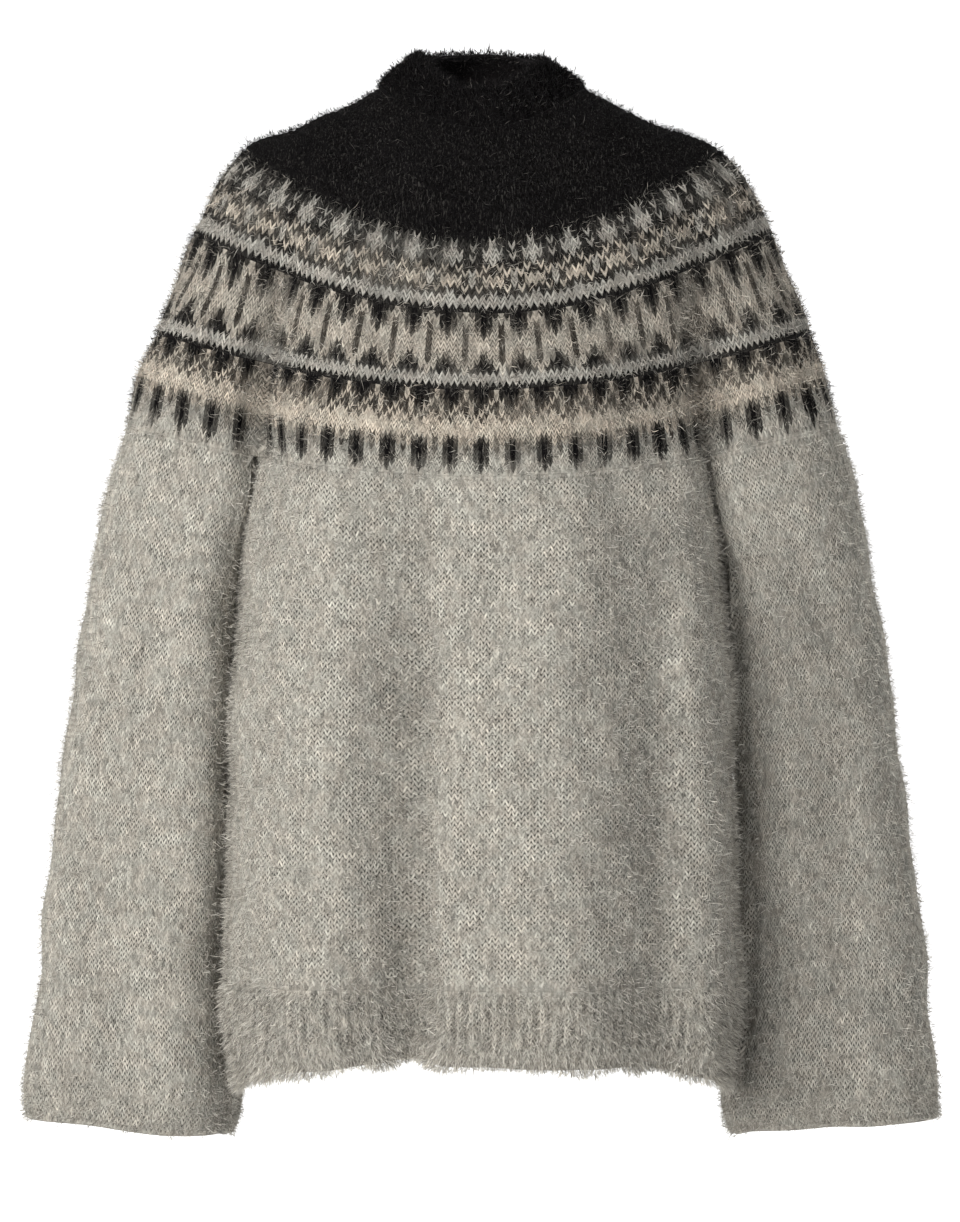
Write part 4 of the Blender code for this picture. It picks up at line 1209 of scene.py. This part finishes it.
for name, how in pieces.items():
    chart = charts[how["chart"]]
    shell = knitPiece(name, chart, wools[how["wool"]], **how["knit"])
    nap = growNap(name, chart, **how["nap"])
    for piece in (shell, nap):
        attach(piece, "root")
    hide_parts(name)
    print(name, "knitted with", len(shell.data.polygons), "faces and a nap of", len(nap.data.polygons))


studio = {
    "floorHeight": -0.95,
    "floorRadius": 9.0,
    "wallSteps": 8,
    "wallCurve": 3.0,
    "wallHeight": 9.0,
    "white": (0.80, 0.80, 0.80, 1.0),
    "glow": 0.17,          # what the white room gives back as light
    "seen": 0.90,          # and how much brighter it looks behind the garment
    "sky": 0.25,
}


def buildStudio():
    bpy.ops.object.select_all(action="DESELECT")
    bpy.ops.mesh.primitive_circle_add(vertices=96, radius=studio["floorRadius"], fill_type="NGON",
                                      location=(0, 0, studio["floorHeight"]))
    room = bpy.context.object
    room.name = "studioRoom"
    bpy.ops.object.transform_apply(location=True)
    bpy.ops.object.mode_set(mode="EDIT")
    bpy.ops.mesh.select_all(action="SELECT")
    bpy.ops.mesh.region_to_loop()
    steps = studio["wallSteps"]
    radius = studio["floorRadius"]
    for step in range(1, steps + 1):
        before, turn = math.pi / 2 * (step - 1) / steps, math.pi / 2 * step / steps
        rise = studio["wallCurve"] * (math.cos(before) - math.cos(turn))
        wider = studio["floorRadius"] + studio["wallCurve"] * math.sin(turn)
        bpy.ops.mesh.extrude_region_move(TRANSFORM_OT_translate={"value": (0, 0, rise)})
        bpy.ops.transform.resize(value=(wider / radius, wider / radius, 1.0), center_override=(0, 0, 0))
        radius = wider
    bpy.ops.mesh.extrude_region_move(TRANSFORM_OT_translate={"value": (0, 0, studio["wallHeight"])})
    bpy.ops.object.mode_set(mode="OBJECT")
    room.data.shade_smooth()
    material, tree, shader = newMaterial("whiteRoom")
    shader.inputs["Base Color"].default_value = studio["white"]
    shader.inputs["Roughness"].default_value = 1.0
    shader.inputs["Emission Color"].default_value = (1.0, 1.0, 1.0, 1.0)
    direct = addNode(tree, "ShaderNodeLightPath").outputs["Is Camera Ray"]
    glow = calculate(tree, "MULTIPLY_ADD", direct, studio["seen"], studio["glow"])
    tree.links.new(glow, shader.inputs["Emission Strength"])
    room.data.materials.append(material)


lamps = {
    "key": {"place": (-1.25, -2.10, -0.06), "size": (1.0, 2.2), "power": 62.5,
            "colour": (1.0, 0.985, 0.965)},
    "fill": {"place": (2.6, -3.0, 0.1), "size": (2.2, 2.2), "power": 9.8, "colour": (0.97, 0.985, 1.0)},
    "back": {"place": (2.0, 3.0, 0.7), "size": (1.6, 1.8), "power": 75.0, "colour": (1.0, 1.0, 1.0)},
}


def addLamps():
    aim = Vector((0.0, 0.0, -0.38))   # the middle of the garment
    for name, lamp in lamps.items():
        place = Vector(lamp["place"])
        bpy.ops.object.light_add(type="AREA", location=place)
        light = bpy.context.object
        light.name = name + "Light"
        light.rotation_euler = (aim - place).to_track_quat("-Z", "Y").to_euler()
        light.data.shape = "RECTANGLE"
        light.data.size, light.data.size_y = lamp["size"]
        light.data.energy = lamp["power"]
        light.data.color = lamp["colour"]
    world = bpy.data.worlds.new("whiteSky")
    world.use_nodes = True
    background = world.node_tree.nodes["Background"]
    background.inputs["Color"].default_value = (1.0, 1.0, 1.0, 1.0)
    background.inputs["Strength"].default_value = studio["sky"]
    bpy.context.scene.world = world


camera = {"distance": 4.5, "across": -0.0015, "height": -0.3633, "tall": 0.9043, "sensor": 36.0}


def addCamera():
    bpy.ops.object.camera_add(location=(camera["across"], -camera["distance"], camera["height"]),
                              rotation=(math.radians(90), 0, 0))
    eye = bpy.context.object
    eye.name = "frontCamera"
    eye.data.sensor_width = camera["sensor"]
    eye.data.lens = camera["sensor"] * camera["distance"] / camera["tall"]
    bpy.context.scene.camera = eye


buildStudio()
addLamps()
addCamera()
bpy.context.scene.view_settings.view_transform = "Standard"
print("studio, lamps and camera placed")
